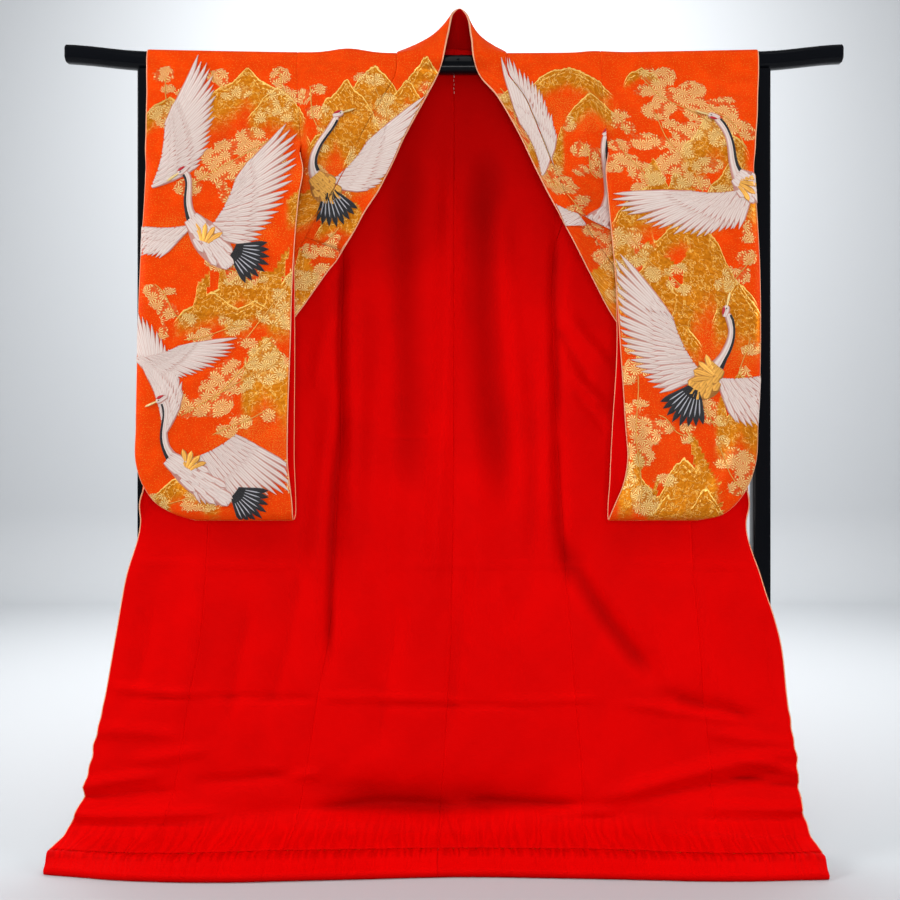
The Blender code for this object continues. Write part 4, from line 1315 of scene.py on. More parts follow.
def shell(name, cloth, sewn, wall, slot, nodes, painted):
    """A closed wall on a cloth's sewn face, so thick and drawn in at the side seams."""
    rows, cols = cloth.points.shape[:2]
    margin = np.minimum(cloth.across, cloth.across[:, -1:] - cloth.across)
    near = np.clip(margin / EDGE_STEPS[-1], 0, 1)
    full = mix(SEAM_WALL, 1.0, np.sqrt(1 - (1 - near) ** 2))
    face = cloth.points + cloth.facing * (sewn + wall * full)[..., None]
    back = cloth.points + cloth.facing * sewn
    count, front = rows * cols, squares(rows, cols)
    index = np.arange(count).reshape(rows, cols)
    rim = np.concatenate([index[0], index[1:, -1], index[-1, -2::-1], index[-2:0:-1, 0]])
    after = np.roll(rim, -1)
    walls = np.stack([rim + count, after + count, after, rim], axis=1)
    faces = np.concatenate([front, front[:, ::-1] + count, walls])
    uv = np.stack([cloth.across, cloth.along], axis=-1).reshape(-1, 2)
    uv = np.concatenate([uv, uv]) + np.array([len(name) * 1.3, cloth.points[0, 0, 0] * 9])
    painted = {key: np.concatenate([values.ravel()] * 2) for key, values in painted.items()}
    points = np.concatenate([face.reshape(-1, 3), back.reshape(-1, 3)])
    made = piece(name, points, faces, uv, [SILKS[slot]], painted)
    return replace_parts(made, *nodes)


OFF_AXIS = (0.13, 0.98, 0.11)  # a direction that no cord runs in
CORD_SIDES = 7


def tube(name, path, radius, finish):
    """A thin cord of stitching or piping along a line of points."""
    path = np.array(path)
    ahead = unit(np.gradient(path, axis=0))
    level = unit(np.cross(ahead, OFF_AXIS))
    upright = np.cross(ahead, level)
    turn = np.linspace(0, 2 * math.pi, CORD_SIDES + 1)[:-1, None]
    rings = [p + radius * (np.cos(turn) * a + np.sin(turn) * b) for p, a, b in zip(path, level, upright)]
    uv = [(j / CORD_SIDES, length) for length in run_of(path) for j in range(CORD_SIDES)]
    return piece(name, np.concatenate(rings), ring_faces(len(path), CORD_SIDES), uv, [finish])


# ---------------------------------------------------------------- garment
WORDS = {-1: "left", 1: "right"}
CLOTHS = {}  # every sheet of the garment by name, for its linings, edges and embroidery


def both(name, cloth, nodes, wall=BROCADE_WALL):
    """A panel of brocade and the lining sewn to its inner side."""
    CLOTHS[name] = cloth
    shell(name + "_brocade", cloth, GAP / 2, wall, "brocade", nodes, figures(cloth))
    linings = [node + "_lining" for node in nodes]
    # gather marks the puckered foot, whose hollows get painted shade; deep carries the painted shade of the
    # folds
    painted = {"gather": 0.5 - fade(cloth.points[..., 2], 0.044, 0.100) / 2, "deep": cloth.deep}
    shell(name + "_silk", cloth, -GAP / 2, -LINING_WALL, "red_silk", linings, painted)


for SIDE, WORD in WORDS.items():
    for name, grid in (("back", back_grid(SIDE)), ("front", front_grid(SIDE))):
        cloth = Cloth(grid, -SIDE, BODY_STEP, ROW_GAPS)
        crease_body(cloth)
        both(f"{name}_{WORD}", cloth, [f"{name}_{WORD}", f"{name}_{WORD}_skirt"])
    grid = okumi_grid(SIDE)  # it shares the lowest rows of the front
    cloth = Cloth(grid, -SIDE, BODY_STEP, ROW_GAPS[-len(grid) + 1 :])
    crease_body(cloth)
    both(f"okumi_{WORD}", cloth, [f"okumi_{WORD}"])
    cloth = Cloth(sleeve_grid(SIDE), -SIDE, SLEEVE_STEP)
    crease_sleeve(cloth)
    both(f"sleeve_{WORD}", cloth, [f"sleeve_{WORD}"])

LAP_FROM, LAP = 1.71, (0.0, -0.0008, -0.0036)  # above here the collar laps over the panels' edge
collar = Cloth(collar_grid({-1: COLLAR_FOOT, 1: COLLAR_FOOT}), -1, SLEEVE_STEP)
overlay = Cloth(collar_grid(OVERLAY_FOOT), -1, SLEEVE_STEP)
for cloth in (collar, overlay):
    cloth.points[cloth.points[:, 0, 2] > LAP_FROM, 0] += LAP
    crease_body(cloth)
# painted shade inside the collar, darker towards its top
collar.deep = 0.7 * fade(collar.points[..., 2], 1.50, 1.66)
both("collar", collar, ["collar"], COLLAR_WALL)
CLOTHS["overlay_collar"] = overlay
ON_COLLAR = GAP * 1.5 + COLLAR_WALL  # the second collar's sewn face
shell("overlay_brocade", overlay, ON_COLLAR, OVERLAY_WALL, "brocade", ["overlay_collar"], figures(overlay))


# ---------------------------------------------------------------- padded hem
HEM_POINTS = 22  # points round the padding's section
HEM_STATION = 0.0026  # distance between its sections
HEM_STRIP = 0.075  # width of the lining round it
PAD_DEPTH = 0.012  # half its height, at its fullest
PUCKER_STEPS, PUCKER_HALVES = (0.006, 0.021), (0.0018, 0.0036)  # least and most
SEAM_DIP, CROWN_DIP = 0.0042, 0.0034  # how deep a full pucker is at the seam and on the crown


def closed_curve(points, count):
    """A smooth closed curve through some points."""
    ring = np.array(points)[:, None, :]
    ring = np.concatenate([ring[-2:], ring, ring[:3]])
    gaps = np.linalg.norm(np.diff(ring[:, 0], axis=0), axis=1)
    start = gaps[:2].sum()
    places = start + np.linspace(0, gaps[2:-2].sum(), count + 1)[:-1]
    return curve_through(ring, gaps, places)[:, 0]


def hem(side, word):
    """The lining turned out over padding, and gathered into its seam by uneven puckers."""
    chance = random.Random(41 + side)
    depth, z = SLOPE["depth"][-1], SLOPE["z"][-1]
    low_u = np.linspace(0.0, HALF_HEM[side] * 0.999, 90)
    lowest = np.array([slope_row(side, 0.0, u, u, depth, z) for u in low_u])
    count = int((HALF_HEM[side] - GAP / 2) / HEM_STATION)
    along = np.linspace(GAP / 2, HALF_HEM[side], count)
    tight, loose, at = np.zeros(count), np.zeros(count), 0.0  # puckers at the seam and on the crown
    while at < HALF_HEM[side]:
        at += chance.uniform(*PUCKER_STEPS)
        dip = chance.uniform(0.35, 1.0) * np.exp(-(((along - at) / chance.uniform(*PUCKER_HALVES)) ** 2))
        tight = np.maximum(tight, dip)
        loose += dip * chance.uniform(0.15, 0.8)
    rings = []
    for index, u in enumerate(along):
        end = ease((u / HALF_HEM[side] - 0.975) / 0.025)
        full = mix(1.0 - 0.10 * min(loose[index], 1.0), 0.72, end)
        x, back, seam = (float(np.interp(u, low_u, lowest[:, k])) for k in range(3))
        back, front = back - HEM_SEAM, -reach_at(side, u)
        deep = PAD_DEPTH * full
        seam_dip, crown_dip = SEAM_DIP * tight[index], CROWN_DIP * min(loose[index], 1.2)
        profile = [
            (back, seam + 0.0012 - seam_dip * 0.4),
            (mix(back, front, 0.16), seam + 0.0002 + deep * 0.25 - seam_dip),
            (mix(back, front, 0.42), seam - 0.006 + deep * 0.92 - crown_dip),
            (mix(back, front, 0.75), deep * 2.05 - crown_dip * 0.7),
            (front + 0.0030 * (1 - full) + crown_dip * 0.5, deep * 1.05),
            (mix(back, front, 0.90), 0.0004),
            (mix(back, front, 0.55), 0.0002),
            (back, seam - 0.0062),
        ]
        ring = closed_curve(profile, HEM_POINTS)
        ring[:, 1] = np.maximum(ring[:, 1], 0.0)
        rings.append(np.column_stack([np.full(HEM_POINTS, x), ring]))
    points, faces = np.concatenate(rings), ring_faces(count, HEM_POINTS)
    uv = [(u + side * 2, length) for u in along for length in np.linspace(0, HEM_STRIP, HEM_POINTS)]
    crown = np.tile(np.cos(np.linspace(0, 2 * math.pi, HEM_POINTS + 1)[:-1]) > 0, count)
    # gather on the padding's crown, where the puckers' hollows get painted shade
    made = piece(f"hem_{word}_silk", points, faces, uv, [RED_SILK], {"gather": crown * 0.8})
    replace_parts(made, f"hem_{word}")


for SIDE, WORD in WORDS.items():
    hem(SIDE, WORD)


# ---------------------------------------------------------------- lacquered stand
def select_faces(made, wanted):
    """Selects the faces of an object in edit mode for which wanted(normal, centre) is true."""
    bpy.ops.mesh.select_all(action="DESELECT")
    work = bmesh.from_edit_mesh(made.data)
    for face in work.faces:
        face.select_set(wanted(face.normal, face.calc_center_median()))
    work.select_flush_mode()
    bmesh.update_edit_mesh(made.data)


def finish_hard(made, name, node, edge, segments=4, sharp=60):
    """Rounds the sharp edges, shades the piece and puts it in the frame in place of its node."""
    made.name = name
    bpy.ops.object.mode_set(mode="OBJECT")
    bpy.ops.object.transform_apply()
    soft = made.modifiers.new("Edges", "BEVEL")
    soft.width, soft.segments = edge, segments
    soft.limit_method, soft.angle_limit = "ANGLE", math.radians(sharp)
    bpy.ops.object.modifier_apply(modifier="Edges")
    bpy.ops.object.shade_smooth_by_angle(angle=math.radians(35))
    made.data.materials.append(LACQUER)
    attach(made, "root")
    if node:
        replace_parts(made, node)


def bar(node, centre, half, edge, rim=0.0):
    """A planed bar with rounded edges. rim: what is left round its front and rear faces, set back."""
    bpy.ops.object.select_all(action="DESELECT")
    bpy.ops.mesh.primitive_cube_add(size=2, location=centre)
    made = bpy.context.object
    bpy.ops.transform.resize(value=half)
    bpy.ops.object.transform_apply()
    bpy.ops.object.mode_set(mode="EDIT")
    if rim:
        select_faces(made, lambda normal, centre: abs(normal.y) > 0.9)
        bpy.ops.mesh.inset(thickness=rim, depth=0)
        bpy.ops.mesh.inset(thickness=0.0010, depth=-0.0010)
    finish_hard(made, node + "_lacquer", node, edge)


END_TILT = math.radians(9)


def rail():
    """The rail: a rounded section drawn out step by step along its gentle curve, its ends cut at a tilt."""
    ends = np.linspace(POST_X, RAIL_LENGTH / 2, 9)
    stations = [*-ends[::-1], *np.linspace(-POST_X, POST_X, 31)[1:-1], *ends]
    bpy.ops.object.select_all(action="DESELECT")
    start = (stations[0], 0.0, rail_centre(stations[0]))
    bpy.ops.mesh.primitive_plane_add(size=2, location=start, rotation=(0, math.radians(90), 0))
    made = bpy.context.object
    made.scale = (RAIL_HALF_HEIGHT, RAIL_HALF_DEPTH, 1)
    bpy.ops.object.transform_apply()
    bpy.ops.object.mode_set(mode="EDIT")
    bpy.ops.mesh.select_all(action="SELECT")
    bpy.ops.mesh.bevel(offset=RAIL_CORNER * 0.86, segments=6, affect="VERTICES", profile=0.36)
    bpy.ops.mesh.select_all(action="SELECT")
    for before, x in zip(stations, stations[1:]):
        step = (x - before, 0.0, rail_centre(x) - rail_centre(before))
        bpy.ops.mesh.extrude_region_move(TRANSFORM_OT_translate={"value": step})
    for way in (-1, 1):
        select_faces(made, lambda normal, centre: way * centre.x > RAIL_LENGTH / 2 - 0.0005)
        pivot = (way * RAIL_LENGTH / 2, 0.0, rail_centre(RAIL_LENGTH / 2))
        bpy.ops.transform.rotate(value=END_TILT * way, orient_axis="Y", center_override=pivot)
    bpy.ops.mesh.select_all(action="SELECT")
    bpy.ops.mesh.normals_make_consistent(inside=False)
    finish_hard(made, "rail_lacquer", "rail", 0.0020, 3, 50)


rail()
FOOT_FRONT, FOOT_BACK = -0.115, 0.2296
FOOT_HEIGHT, FOOT_HALF = 0.018, 0.030
POST_RIM = 0.0055
BAR_Z, BAR_HALF = 0.135, 0.014
POST_TOP = rail_centre(POST_X) - RAIL_HALF_HEIGHT - 0.0008  # just clear of the rail
for SIDE, WORD in WORDS.items():
    low = FOOT_HEIGHT + GAP
    middle, tall = (low + POST_TOP) / 2, (POST_TOP - low) / 2
    bar(f"post_{WORD}", (SIDE * POST_X, 0.0, middle), (POST_HALF, POST_HALF, tall), 0.0030, POST_RIM)
    at = (SIDE * POST_X, (FOOT_FRONT + FOOT_BACK) / 2, FOOT_HEIGHT / 2)
    bar(f"foot_{WORD}", at, (FOOT_HALF, (FOOT_BACK - FOOT_FRONT) / 2, FOOT_HEIGHT / 2), 0.0040)
at = (0.0, POST_HALF + GAP + BAR_HALF, BAR_Z)
bar("crossbar", at, (POST_X + POST_HALF, BAR_HALF, BAR_HALF), 0.0035)


# ---------------------------------------------------------------- embroidery
THREADS = [WHITE_THREAD, GREY_THREAD, BLACK_THREAD, GOLD_THREAD, PALE_GOLD, RED_THREAD]
WHITE, GREY, BLACK, GOLD, PALE, RED = range(len(THREADS))
ACROSS_FEATHER = np.array([-1.0, -0.62, 0.0, 0.62, 1.0])
DOME = np.array([-0.45, 0.75, 1.0, 0.75, -0.45])  # a feather's section, its borders sunk into the cloth
KEEP_X, KEEP_Z = 0.0016, 0.003  # how far stitches stay from the edges of their cloth
SEEN = 0.22  # stitches lie where the cloth faces forward or back at least this much


class Stitches:
    """Satin stitch on the face of one cloth, kept as raised feathers until the piece is made."""

    def __init__(self, name, way, side):
        self.name, self.way, self.side = name, way, side
        base = ON_COLLAR + OVERLAY_WALL if name == "overlay_collar" else BROCADE_WALL + GAP / 2
        cloth = CLOTHS[name]
        face = cloth.points + cloth.facing * base
        rows, cols = face.shape[:2]
        self.tree = BVHTree.FromPolygons(face.reshape(-1, 3).tolist(), squares(rows, cols).tolist())
        seen = (cloth.facing[..., 1] * way > SEEN) & (face[..., 0] * side >= 0)
        shown = [row[ok] for row, ok in zip(face, seen) if ok.any()]
        reach = [(row[:, 2].mean(), row[:, 0].min(), row[:, 0].max()) for row in shown]
        self.z, self.low, self.high = np.array(sorted(reach)).T
        self.points, self.faces, self.uv, self.kinds = [], [], [], []

    def put(self, x, z, lift):
        away = Vector((x, self.way * 0.7, z))  # clear of all cloth
        hit, normal, _, _ = self.tree.ray_cast(away, Vector((0, -self.way, 0)))
        if hit is None:
            return None
        return hit + normal * (lift if normal.y * self.way > 0 else -lift)

    def lay(self, line, halves, thread, lift, dome=0.0008):
        """One feather along a line of (x, z) points, halves being its half-width at each of them."""
        line = np.asarray(line, float)
        ahead = unit(np.gradient(line, axis=0))
        aside = np.stack([-ahead[:, 1], ahead[:, 0]], axis=1)
        spots = line[:, None] + aside[:, None] * (np.asarray(halves)[:, None] * ACROSS_FEATHER)[..., None]
        z = np.clip(spots[..., 1], self.z[0] + KEEP_Z, self.z[-1] - KEEP_Z)
        low, high = np.interp(z, self.z, self.low) + KEEP_X, np.interp(z, self.z, self.high) - KEEP_X
        x = np.clip(spots[..., 0], low, high)
        kept = (x == spots[..., 0]) & (z == spots[..., 1])
        if not kept.any():
            return
        base, rows = len(self.points), len(line)
        lengths = run_of(line)
        heights = lift + dome * DOME
        found = []
        for i in range(rows):
            for j in range(len(DOME)):
                spot = self.put(x[i, j], z[i, j], heights[j])
                found.append(spot is not None)
                self.points.append(spot or Vector((x[i, j], 0.0, z[i, j])))
                self.uv.append(((ACROSS_FEATHER[j] + 1) / 2, lengths[i] + base * 0.013))
        for corners in squares(rows, len(DOME)):
            if all(found[c] for c in corners) and kept.ravel()[corners].any():
                self.faces.append([base + int(c) for c in corners[:: self.way]])
                self.kinds.append(thread)

    def make(self):
        if not self.faces:
            return None
        word = {0: "", -1: "left_", 1: "right_"}[self.side] + {-1: "front", 1: "rear"}[self.way]
        used = sorted({k for face in self.faces for k in face})
        place = {k: index for index, k in enumerate(used)}
        faces = [[place[k] for k in face] for face in self.faces]
        points, uv = [self.points[k] for k in used], [self.uv[k] for k in used]
        name = f"{self.name}_{word}_stitches"
        return piece(name, points, faces, uv, THREADS, kinds=self.kinds, closed=False)


def along(angle, length):
    return np.array([math.cos(angle), math.sin(angle)]) * length


NECK_ROOT = 0.22  # share of the body's length at which the neck starts
FULL_TIP, LONG_TIP = (0.50, 0.85, 1.0, 0.68, 0.06), (0.60, 1.0, 0.92, 0.58, 0.04)  # widths along a feather


def feather(work, start, angle, length, half, thread, lift, bend=0.0, steps=7, dome=0.0008, form=FULL_TIP):
    """A long feather with a pointed tip, narrow at its root."""
    t = np.linspace(0, 1, steps)
    turn = angle + bend * t
    line = np.array(start) + np.cumsum(
        np.stack([np.cos(turn), np.sin(turn)], axis=1) * np.diff(t, prepend=0)[:, None] * length, axis=0
    )
    widths = half * np.interp(t, [0, 0.35, 0.72, 0.88, 1], form)
    for one in work:
        one.lay(line, widths, thread, lift, dome)


FEATHERS = 19  # the long feathers of a wing
COVERTS = ((0.40, 0.34, 0.031), (0.20, 0.20, 0.028), (0.03, 0.13, 0.026))  # rows over them: lengths, width


def wing(work, root, size, arm, first, last):
    """An open wing: directions of its leading edge and of its inmost and outmost feathers."""
    chance, lift = random.Random(int(1000 * (root[0] + 3) + 100 * root[1])), 0.0006
    root = np.array(root)

    def on_arm(t, reach):
        return root + along(mix(arm + 0.25 * np.sign(first - arm), arm, t), size * reach * t)

    for k in range(FEATHERS):
        t = k / (FEATHERS - 1)
        start = on_arm(t, 0.56)
        angle = mix(first, last, t**1.15) + chance.uniform(-0.015, 0.015)
        outmost = 1 - 0.10 * ease((t - 0.88) / 0.12)
        length = size * mix(0.44, 0.82, t**1.1) * outmost * chance.uniform(0.96, 1.04)
        bend = 0.16 * np.sign(last - first) * (1 - t)
        above = lift + 0.00004 * k
        feather(work, start, angle, length, size * 0.031, WHITE, above, bend, 9, 0.0006, LONG_TIP)
    for row, (share, reach, half) in enumerate(COVERTS):
        count = FEATHERS - 4 * row
        for k in range(count):
            t = k / (count - 1)
            start = on_arm(t, 0.57) - along(mix(first, last, t), size * 0.012)
            angle = mix(first, last, t**1.1) + chance.uniform(-0.02, 0.02)
            length = size * (reach + share * 0.2) * (1 - 0.35 * t)
            above = lift + 0.0007 + 0.0003 * row + 0.00003 * k
            feather(work, start, angle, length, size * half * (1 - 0.3 * t), WHITE, above, 0.1, 5, 0.0005)


def shoulder_feathers(work, root, size, angle):
    """Broad golden plumes laid over a wing where it joins the back, spread like a fan."""
    for k in (-1.5, -0.5, 0.5, 1.5):
        start = np.array(root) + along(angle + 1.57, size * 0.022 * k) - along(angle, size * 0.05)
        above = 0.0032 + 0.0002 * (abs(k) < 1)
        feather(work, start, angle + 0.24 * k, size * 0.17, size * 0.030, GOLD, above, 0.3 * k, 7, 0.0004)


def bezier(a, b, c, d, count):
    t = np.linspace(0, 1, count)[:, None]
    a, b, c, d = (np.array(p, float) for p in (a, b, c, d))
    return a * (1 - t) ** 3 + 3 * b * t * (1 - t) ** 2 + 3 * c * t**2 * (1 - t) + d * t**3


def neck_and_head(work, start, mid, high, end, bend, angle, size):
    """An S-shaped neck with a dark stripe down its throat, then the head, its red crown and the beak."""
    line, lift = bezier(start, mid, high, end, 16), 0.0016
    t = np.linspace(0, 1, 16)
    widths = size * np.interp(t, [0, 0.25, 0.7, 0.92, 1.0], [0.080, 0.042, 0.030, 0.036, 0.020])
    for one in work:
        one.lay(line, widths, WHITE, lift, 0.0012)
    ahead = unit(np.gradient(line, axis=0))
    throat = line + np.stack([-ahead[:, 1], ahead[:, 0]], axis=1) * widths[:, None] * 0.66 * bend
    for one in work:
        one.lay(throat[2:15], widths[2:15] * 0.34, BLACK, lift + 0.0010, 0.0006)
    head = line[-1]
    crown = head + along(angle + 1.57 * bend, -size * 0.022)
    for root, onward, length, half, colour, above, steps in (  # head, beak, crown and eye
        (head, -0.05, 0.115, 0.036, WHITE, 0.0012, 6),
        (head, 0.045, 0.135, 0.013, PALE, 0.0014, 5),
        (crown, -0.03, 0.07, 0.014, RED, 0.0022, 5),
        (head, 0.022, 0.014, 0.006, BLACK, 0.0030, 4),
    ):
        start = root + along(angle, size * onward)
        feather(work, start, angle, size * length, size * half, colour, lift + above, 0, steps)


def body(work, head_end, tail_end, size, dress):
    """The bird's body: a leaf of small scale-like feathers, from the breast to the root of the tail."""
    axis, lift = tail_end - head_end, 0.0012
    length = float(np.linalg.norm(axis))
    angle = math.atan2(axis[1], axis[0])
    t = np.linspace(0, 1, 9)
    for one in work:
        leaf = size * 0.150 * np.sqrt(np.clip(np.sin(math.pi * np.clip(t * 0.93 + 0.05, 0, 1)), 0.01, 1))
        one.lay(head_end + axis * t[:, None], leaf, dress, lift - 0.0002, 0.0020)
    for row in range(6):
        place = 0.86 - 0.155 * row
        for k in (-1.5, -0.5, 0.5, 1.5) if row % 2 else (-1, 0, 1):
            wide = size * 0.155 * math.sin(math.pi * (place * 0.85 + 0.1))
            start = head_end + axis * (place - 0.13) + along(angle + 1.571, wide * k * 0.44)
            above = lift + 0.0013 + 0.0001 * row
            feather(work, start, angle + k * 0.05, length * 0.27, size * 0.040, dress, above, 0, 5, 0.0006)


def tail(work, root, size, angle):
    """The black bustle over a crane's tail, each plume with a grey core."""
    count, spread = 8, 0.9
    for k in range(count):
        t = k / (count - 1) - 0.5
        length = size * (0.36 - 0.14 * abs(t))
        start = np.array(root) + along(angle + 1.571, size * 0.10 * t)
        plume = 0.0020 + 0.0002 * (k % 3)
        feather(work, start, angle + spread * t, length, size * 0.030, BLACK, plume, 0.5 * t, 7, 0.0010)
        core, turned = start + along(angle + spread * t, length * 0.25), angle + spread * t * 1.1
        feather(work, core, turned, length * 0.5, size * 0.007, GREY, plume + 0.0011, 0, 5, 0.0004)


# The pieces of cloth that each place takes in: name, -1 for its front or 1 for its rear, and its side or 0.
PLACES = {
    "left_sleeve": [("sleeve_left", -1, 0)],
    "right_sleeve": [("sleeve_right", -1, 0)],
    "left_front": [("front_left", -1, 0), ("overlay_collar", -1, -1)],
    "right_front": [("front_right", -1, 0), ("overlay_collar", -1, 1)],
    "back": [(name, 1, 0) for name in ("back_left", "back_right", "front_left", "front_right")],
    "left_sleeve_rear": [("sleeve_left", 1, 0)],
    "right_sleeve_rear": [("sleeve_right", 1, 0)],
}
# Each crane: its place, dress and size, then what shows of it, in metres and degrees. body: its two ends.
# neck: two control points, the head, and how the beak bends and points. wing: root, arm, inmost and outmost
# feather. tail and gold, the plumes over its wing: root and direction.
DRESSES = {"white": WHITE, "gold": GOLD}
CRANES = """
left_sleeve white .225
body -.54 1.325 -.462 1.228
neck -.575 1.36 -.53 1.4 -.561 1.428 1 215
wing -.512 1.296 62 -16 54
wing -.545 1.312 178 222 172
tail -.456 1.262 -28
gold -.512 1.29 70
left_sleeve white .235
body -.7 1.38 -.67 1.29
wing -.622 1.395 80 22 72
left_sleeve white .215
body -.585 .83 -.462 .742
neck -.635 .87 -.575 .915 -.603 .955 1 205
wing -.56 .826 26 -72 -30
wing -.6 .88 104 60 112
tail -.452 .762 -38
gold -.545 .822 60
left_sleeve white .165
body -.72 1 -.69 .96
wing -.66 1.04 14 -46 8
left_front gold .215
body -.292 1.425 -.245 1.372
neck -.325 1.47 -.268 1.505 -.246 1.56 -1 20
wing -.268 1.408 46 -12 40
tail -.262 1.392 -72
right_front white .205
body .322 1.352 .268 1.276
neck .345 1.4 .3 1.45 .322 1.52 -1 40
wing .186 1.43 112 66 106
wing .3 1.335 158 215 170
tail .272 1.29 -110
right_sleeve white .225
body .585 1.415 .64 1.37
neck .56 1.44 .59 1.5 .545 1.548 -1 160
wing .618 1.392 184 246 180
wing .61 1.402 20 -40 10
tail .642 1.38 -30
gold .6 1.398 -20
right_sleeve gold .235
body .542 1.02 .492 .96
neck .562 1.05 .59 1.09 .56 1.135 -1 78
wing .512 1.004 118 198 128
wing .545 .996 8 -70 -4
tail .496 .976 -118
gold .522 1.01 150
back white .27
body .06 1.3 -.05 1.19
neck .11 1.36 .085 1.43 .14 1.47 1 5
wing .02 1.262 146 236 156
wing .05 1.27 -8 -96 -14
tail -.052 1.215 -140
gold .02 1.25 170
back gold .25
body -.16 .8 -.09 .69
neck -.22 .85 -.19 .93 -.25 .96 -1 170
wing -.14 .768 50 -50 30
wing -.15 .77 196 268 202
tail -.078 .705 -50
gold -.13 .76 20
back white .23
body .3 .98 .22 .89
neck .33 1.03 .3 1.08 .345 1.12 1 20
wing .262 .94 120 200 134
wing .285 .95 0 -84 -12
tail .218 .905 -135
gold .262 .935 160
back white .24
body -.44 .48 -.37 .39
neck -.49 .53 -.46 .6 -.51 .63 -1 165
wing -.412 .452 62 -30 48
wing -.43 .455 190 262 196
tail -.362 .405 -48
gold -.405 .446 30
left_sleeve_rear white .215
body -.5 1.33 -.43 1.24
neck -.545 1.38 -.5 1.42 -.54 1.46 -1 165
wing -.472 1.3 74 -14 60
wing -.49 1.3 196 262 200
tail -.424 1.256 -48
gold -.466 1.294 30
right_sleeve_rear white .215
body .5 1.1 .43 1.01
neck .54 1.15 .505 1.2 .548 1.24 1 20
wing .47 1.066 118 200 130
wing .49 1.076 -6 -84 -14
tail .426 1.026 -135
gold .465 1.06 160"""


def read_birds(text):
    """The cranes of a plain text: their parts by name, after a line with place, dress and size."""
    birds = []
    for word, *rest in (line.split() for line in text.strip().splitlines()):
        if word in PLACES:
            dress, size = rest
            birds.append({"on": PLACES[word], "dress": DRESSES[dress], "size": float(size), "wing": []})
        elif word == "wing":
            birds[-1][word].append([float(number) for number in rest])
        else:
            birds[-1][word] = [float(number) for number in rest]
    return birds


def crane(work, bird):
    size, (head_end, tail_end) = bird["size"], np.reshape(bird["body"], (2, 2))
    for x, z, *angles in bird["wing"]:
        wing(work, (x, z), size, *map(math.radians, angles))
    body(work, head_end, tail_end, size, bird["dress"])
    if "gold" in bird:
        x, z, angle = bird["gold"]
        shoulder_feathers(work, (x, z), size, math.radians(angle))
    if "neck" in bird:
        start = mix(head_end, tail_end, NECK_ROOT)
        *spots, bend, angle = bird["neck"]
        neck_and_head(work, start, *np.reshape(spots, (3, 2)), bend, math.radians(angle), size)
    if "tail" in bird:
        x, z, angle = bird["tail"]
        tail(work, (x, z), size, math.radians(angle))


WORKS = {}  # the stitches on each face of each cloth
BIRDS = read_birds(CRANES)
for key in sorted({key for bird in BIRDS for key in bird["on"]}):
    WORKS[key] = Stitches(*key)
for bird in BIRDS:
    crane([WORKS[key] for key in bird["on"]], bird)

chance = random.Random(23)
for way, boughs in ((-1, FRONT_BOUGHS), (1, BACK_BOUGHS)):
    for x0, z0, x1, z1, _, _ in zip(*boughs.values()):
        t = np.linspace(0, 1, 12)
        wave = 0.004 * np.sin(t * chance.uniform(5, 9) + chance.uniform(0, 6))
        line = np.stack([mix(x0, x1, t) + wave, mix(z0, z1, t) + wave], axis=1)
        for key, one in WORKS.items():
            if key[1] == way:
                one.lay(line, np.full(12, 0.0011), GOLD, 0.0002, 0.0004)
STITCHED = {key: work.make() for key, work in WORKS.items()}


# ---------------------------------------------------------------- piping, seam welts and single stitches
TRIMS = {}  # the separate pieces on each sheet


def trim(name, sheet_name, path, radius, finish=CORAL_CORD):
    TRIMS.setdefault(sheet_name, []).append(tube(name, path, radius, finish))


def edge_line(cloth, column, out=0.0004, beyond=0.0002):
    """A side edge of a cloth, moved out along its normals and beyond its border."""
    beside = 1 if column == 0 else column - 1
    away = unit(cloth.points[:, column] - cloth.points[:, beside])
    return cloth.points[:, column] + cloth.facing[:, column] * out + away * beyond


for word in WORDS.values():
    name, cloth = f"okumi_{word}", CLOTHS[f"okumi_{word}"]
    line = edge_line(cloth, -1)[cloth.points[:, -1, 2] < COLLAR_FOOT - 0.03]
    trim(name + "_piping", name, line, 0.0015)
    name, cloth = f"sleeve_{word}", CLOTHS[f"sleeve_{word}"]
    trim(name + "_cuff_piping", name, edge_line(cloth, -1), 0.0013)
    middle = len(cloth.points) // 2
    for part, half in (("front", slice(0, middle)), ("rear", slice(middle, None))):
        line = edge_line(cloth, 0)[half]
        trim(f"{name}_{part}_piping", name, line[line[:, 2] < SLEEVE_SEAM_FOOT - 0.02], 0.0011)
    trim(name + "_foot_welt", name, (cloth.points[0] + cloth.points[-1]) / 2, 0.0030, BROCADE)
trim("collar_piping", "collar", edge_line(collar, -1, 0.0008), 0.0013)
trim("overlay_piping", "overlay", edge_line(overlay, -1, ON_COLLAR + 0.0005, 0.0), 0.0010)
NECK_STITCH_FOOT, NECK_STITCH_STEP = 1.625, 0.0085
for index in range(5):
    z = NECK_STITCH_FOOT + NECK_STITCH_STEP * index
    spot = np.array((0.0004 * (-1) ** index, read(BODY, "back", z) - GAP / 2 - LINING_WALL - 0.0006, z))
    stitch = [spot + (0.0, 0.0, step) for step in (-0.0022, -0.0008, 0.0008, 0.0022)]
    trim(f"neck_stitch_{index}", "back_left_silk", stitch, 0.0006, WHITE_THREAD)

SCREW = (0.0085, -RAIL_HALF_DEPTH - 0.0004, 1.684)  # its round head, in the rail's front face
bpy.ops.object.select_all(action="DESELECT")
turned = {"location": SCREW, "rotation": (math.radians(90), 0, 0)}
bpy.ops.mesh.primitive_cylinder_add(vertices=24, radius=0.003, depth=0.0016, **turned)
finish_hard(bpy.context.object, "rail_screw", None, 0.0004, 2)


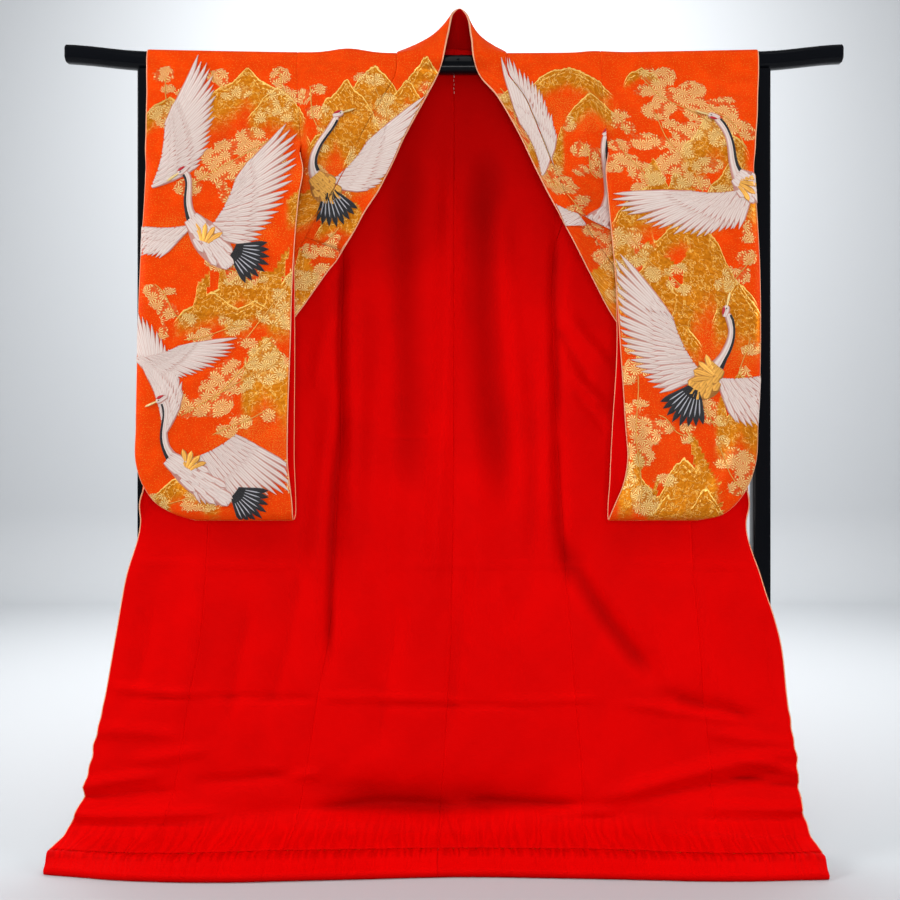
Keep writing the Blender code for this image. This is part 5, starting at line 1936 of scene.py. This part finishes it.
# ---------------------------------------------------------------- what each sheet was cut to
# Greatest width and length of the flat piece and the area that its shaping leaves, in metres and square
# metres. The lining is cut to the same lines as its brocade.
CUTS = {
    "back_left": (0.343, 1.780, 0.498),
    "back_right": (0.325, 1.783, 0.475),
    "front_left": (0.285, 1.890, 0.464),
    "front_right": (0.284, 1.897, 0.466),
    "okumi_left": (0.194, 1.508, 0.195),
    "okumi_right": (0.187, 1.520, 0.195),
    "sleeve_left": (0.331, 2.223, 0.671),
    "sleeve_right": (0.336, 2.216, 0.635),
    "collar": (0.116, 2.271, 0.166),
    "overlay": (0.116, 1.215, 0.089),
}
for name, (width, length, area) in CUTS.items():
    worked = [made for key, made in STITCHED.items() if made and key[0].startswith(name)]
    brocade_piece = bpy.data.objects[name + "_brocade"]
    worked + TRIMS.get(name, [])
    if name != "overlay":
        silk_piece, inner = bpy.data.objects[name + "_silk"], TRIMS.get(name + "_silk", [])


# ---------------------------------------------------------------- studio
def studio_floor():
    """A pale floor that sweeps up into the backdrop."""
    bpy.ops.object.select_all(action="DESELECT")
    bpy.ops.mesh.primitive_plane_add(size=12, location=(0.0, -1.6, 0.0))
    made = bpy.context.object
    made.name = "studio_floor"
    bpy.ops.object.mode_set(mode="EDIT")
    bpy.ops.mesh.select_all(action="DESELECT")
    work = bmesh.from_edit_mesh(made.data)
    for edge in work.edges:
        edge.select_set(all(vertex.co.y > 1 for vertex in edge.verts))
    bmesh.update_edit_mesh(made.data)
    bpy.ops.mesh.extrude_region_move(TRANSFORM_OT_translate={"value": (0.0, 0.0, 5.0)})
    bpy.ops.object.mode_set(mode="OBJECT")
    soft = made.modifiers.new("Sweep", "BEVEL")
    soft.width, soft.segments = 0.5, 12
    bpy.ops.object.modifier_apply(modifier="Sweep")
    bpy.ops.object.shade_smooth()
    paper = Finish("studio_paper")
    paper.finish(Base_Color=(0.50, 0.52, 0.54), Roughness=0.8, Specular_IOR_Level=0.25)
    made.data.materials.append(paper.material)


studio_floor()
for name, spot, at, size, power in (  # soft lights, their sizes in metres and powers in watts
    ("left", (-2.6, -0.85, 2.0), (0.0, 0.0, 1.05), 1.2, 54),
    ("right", (2.6, -0.95, 1.8), (0.0, 0.0, 1.0), 1.4, 36),
    ("key", (-0.4, -2.2, 3.5), (0.0, 0.0, 0.6), 1.6, 16),
    ("high", (0.3, -0.75, 3.8), (0.0, 0.1, 0.4), 1.6, 12),
    ("low", (0.1, -3.0, 0.9), (0.0, 0.0, 0.9), 1.0, 34),
    ("rear_left", (-2.2, 2.2, 2.4), (0.0, 0.0, 0.8), 1.6, 20),
    ("rear_right", (2.4, 2.0, 2.0), (0.0, 0.0, 0.8), 1.6, 14),
    ("wall", (0.0, 1.7, 3.6), (0.0, 4.4, 1.0), 2.4, 215),
):
    bpy.ops.object.light_add(type="AREA", location=spot)
    light = bpy.context.object
    light.name, light.data.size, light.data.energy = name, size, power
    light.rotation_euler = (Vector(at) - Vector(spot)).to_track_quat("-Z", "Y").to_euler()

world = bpy.context.scene.world or bpy.data.worlds.new("studio_air")
bpy.context.scene.world = world
world.use_nodes = True
air = world.node_tree.nodes["Background"]
air.inputs["Color"].default_value = (0.93, 0.96, 1.0, 1.0)
air.inputs["Strength"].default_value = 0.24
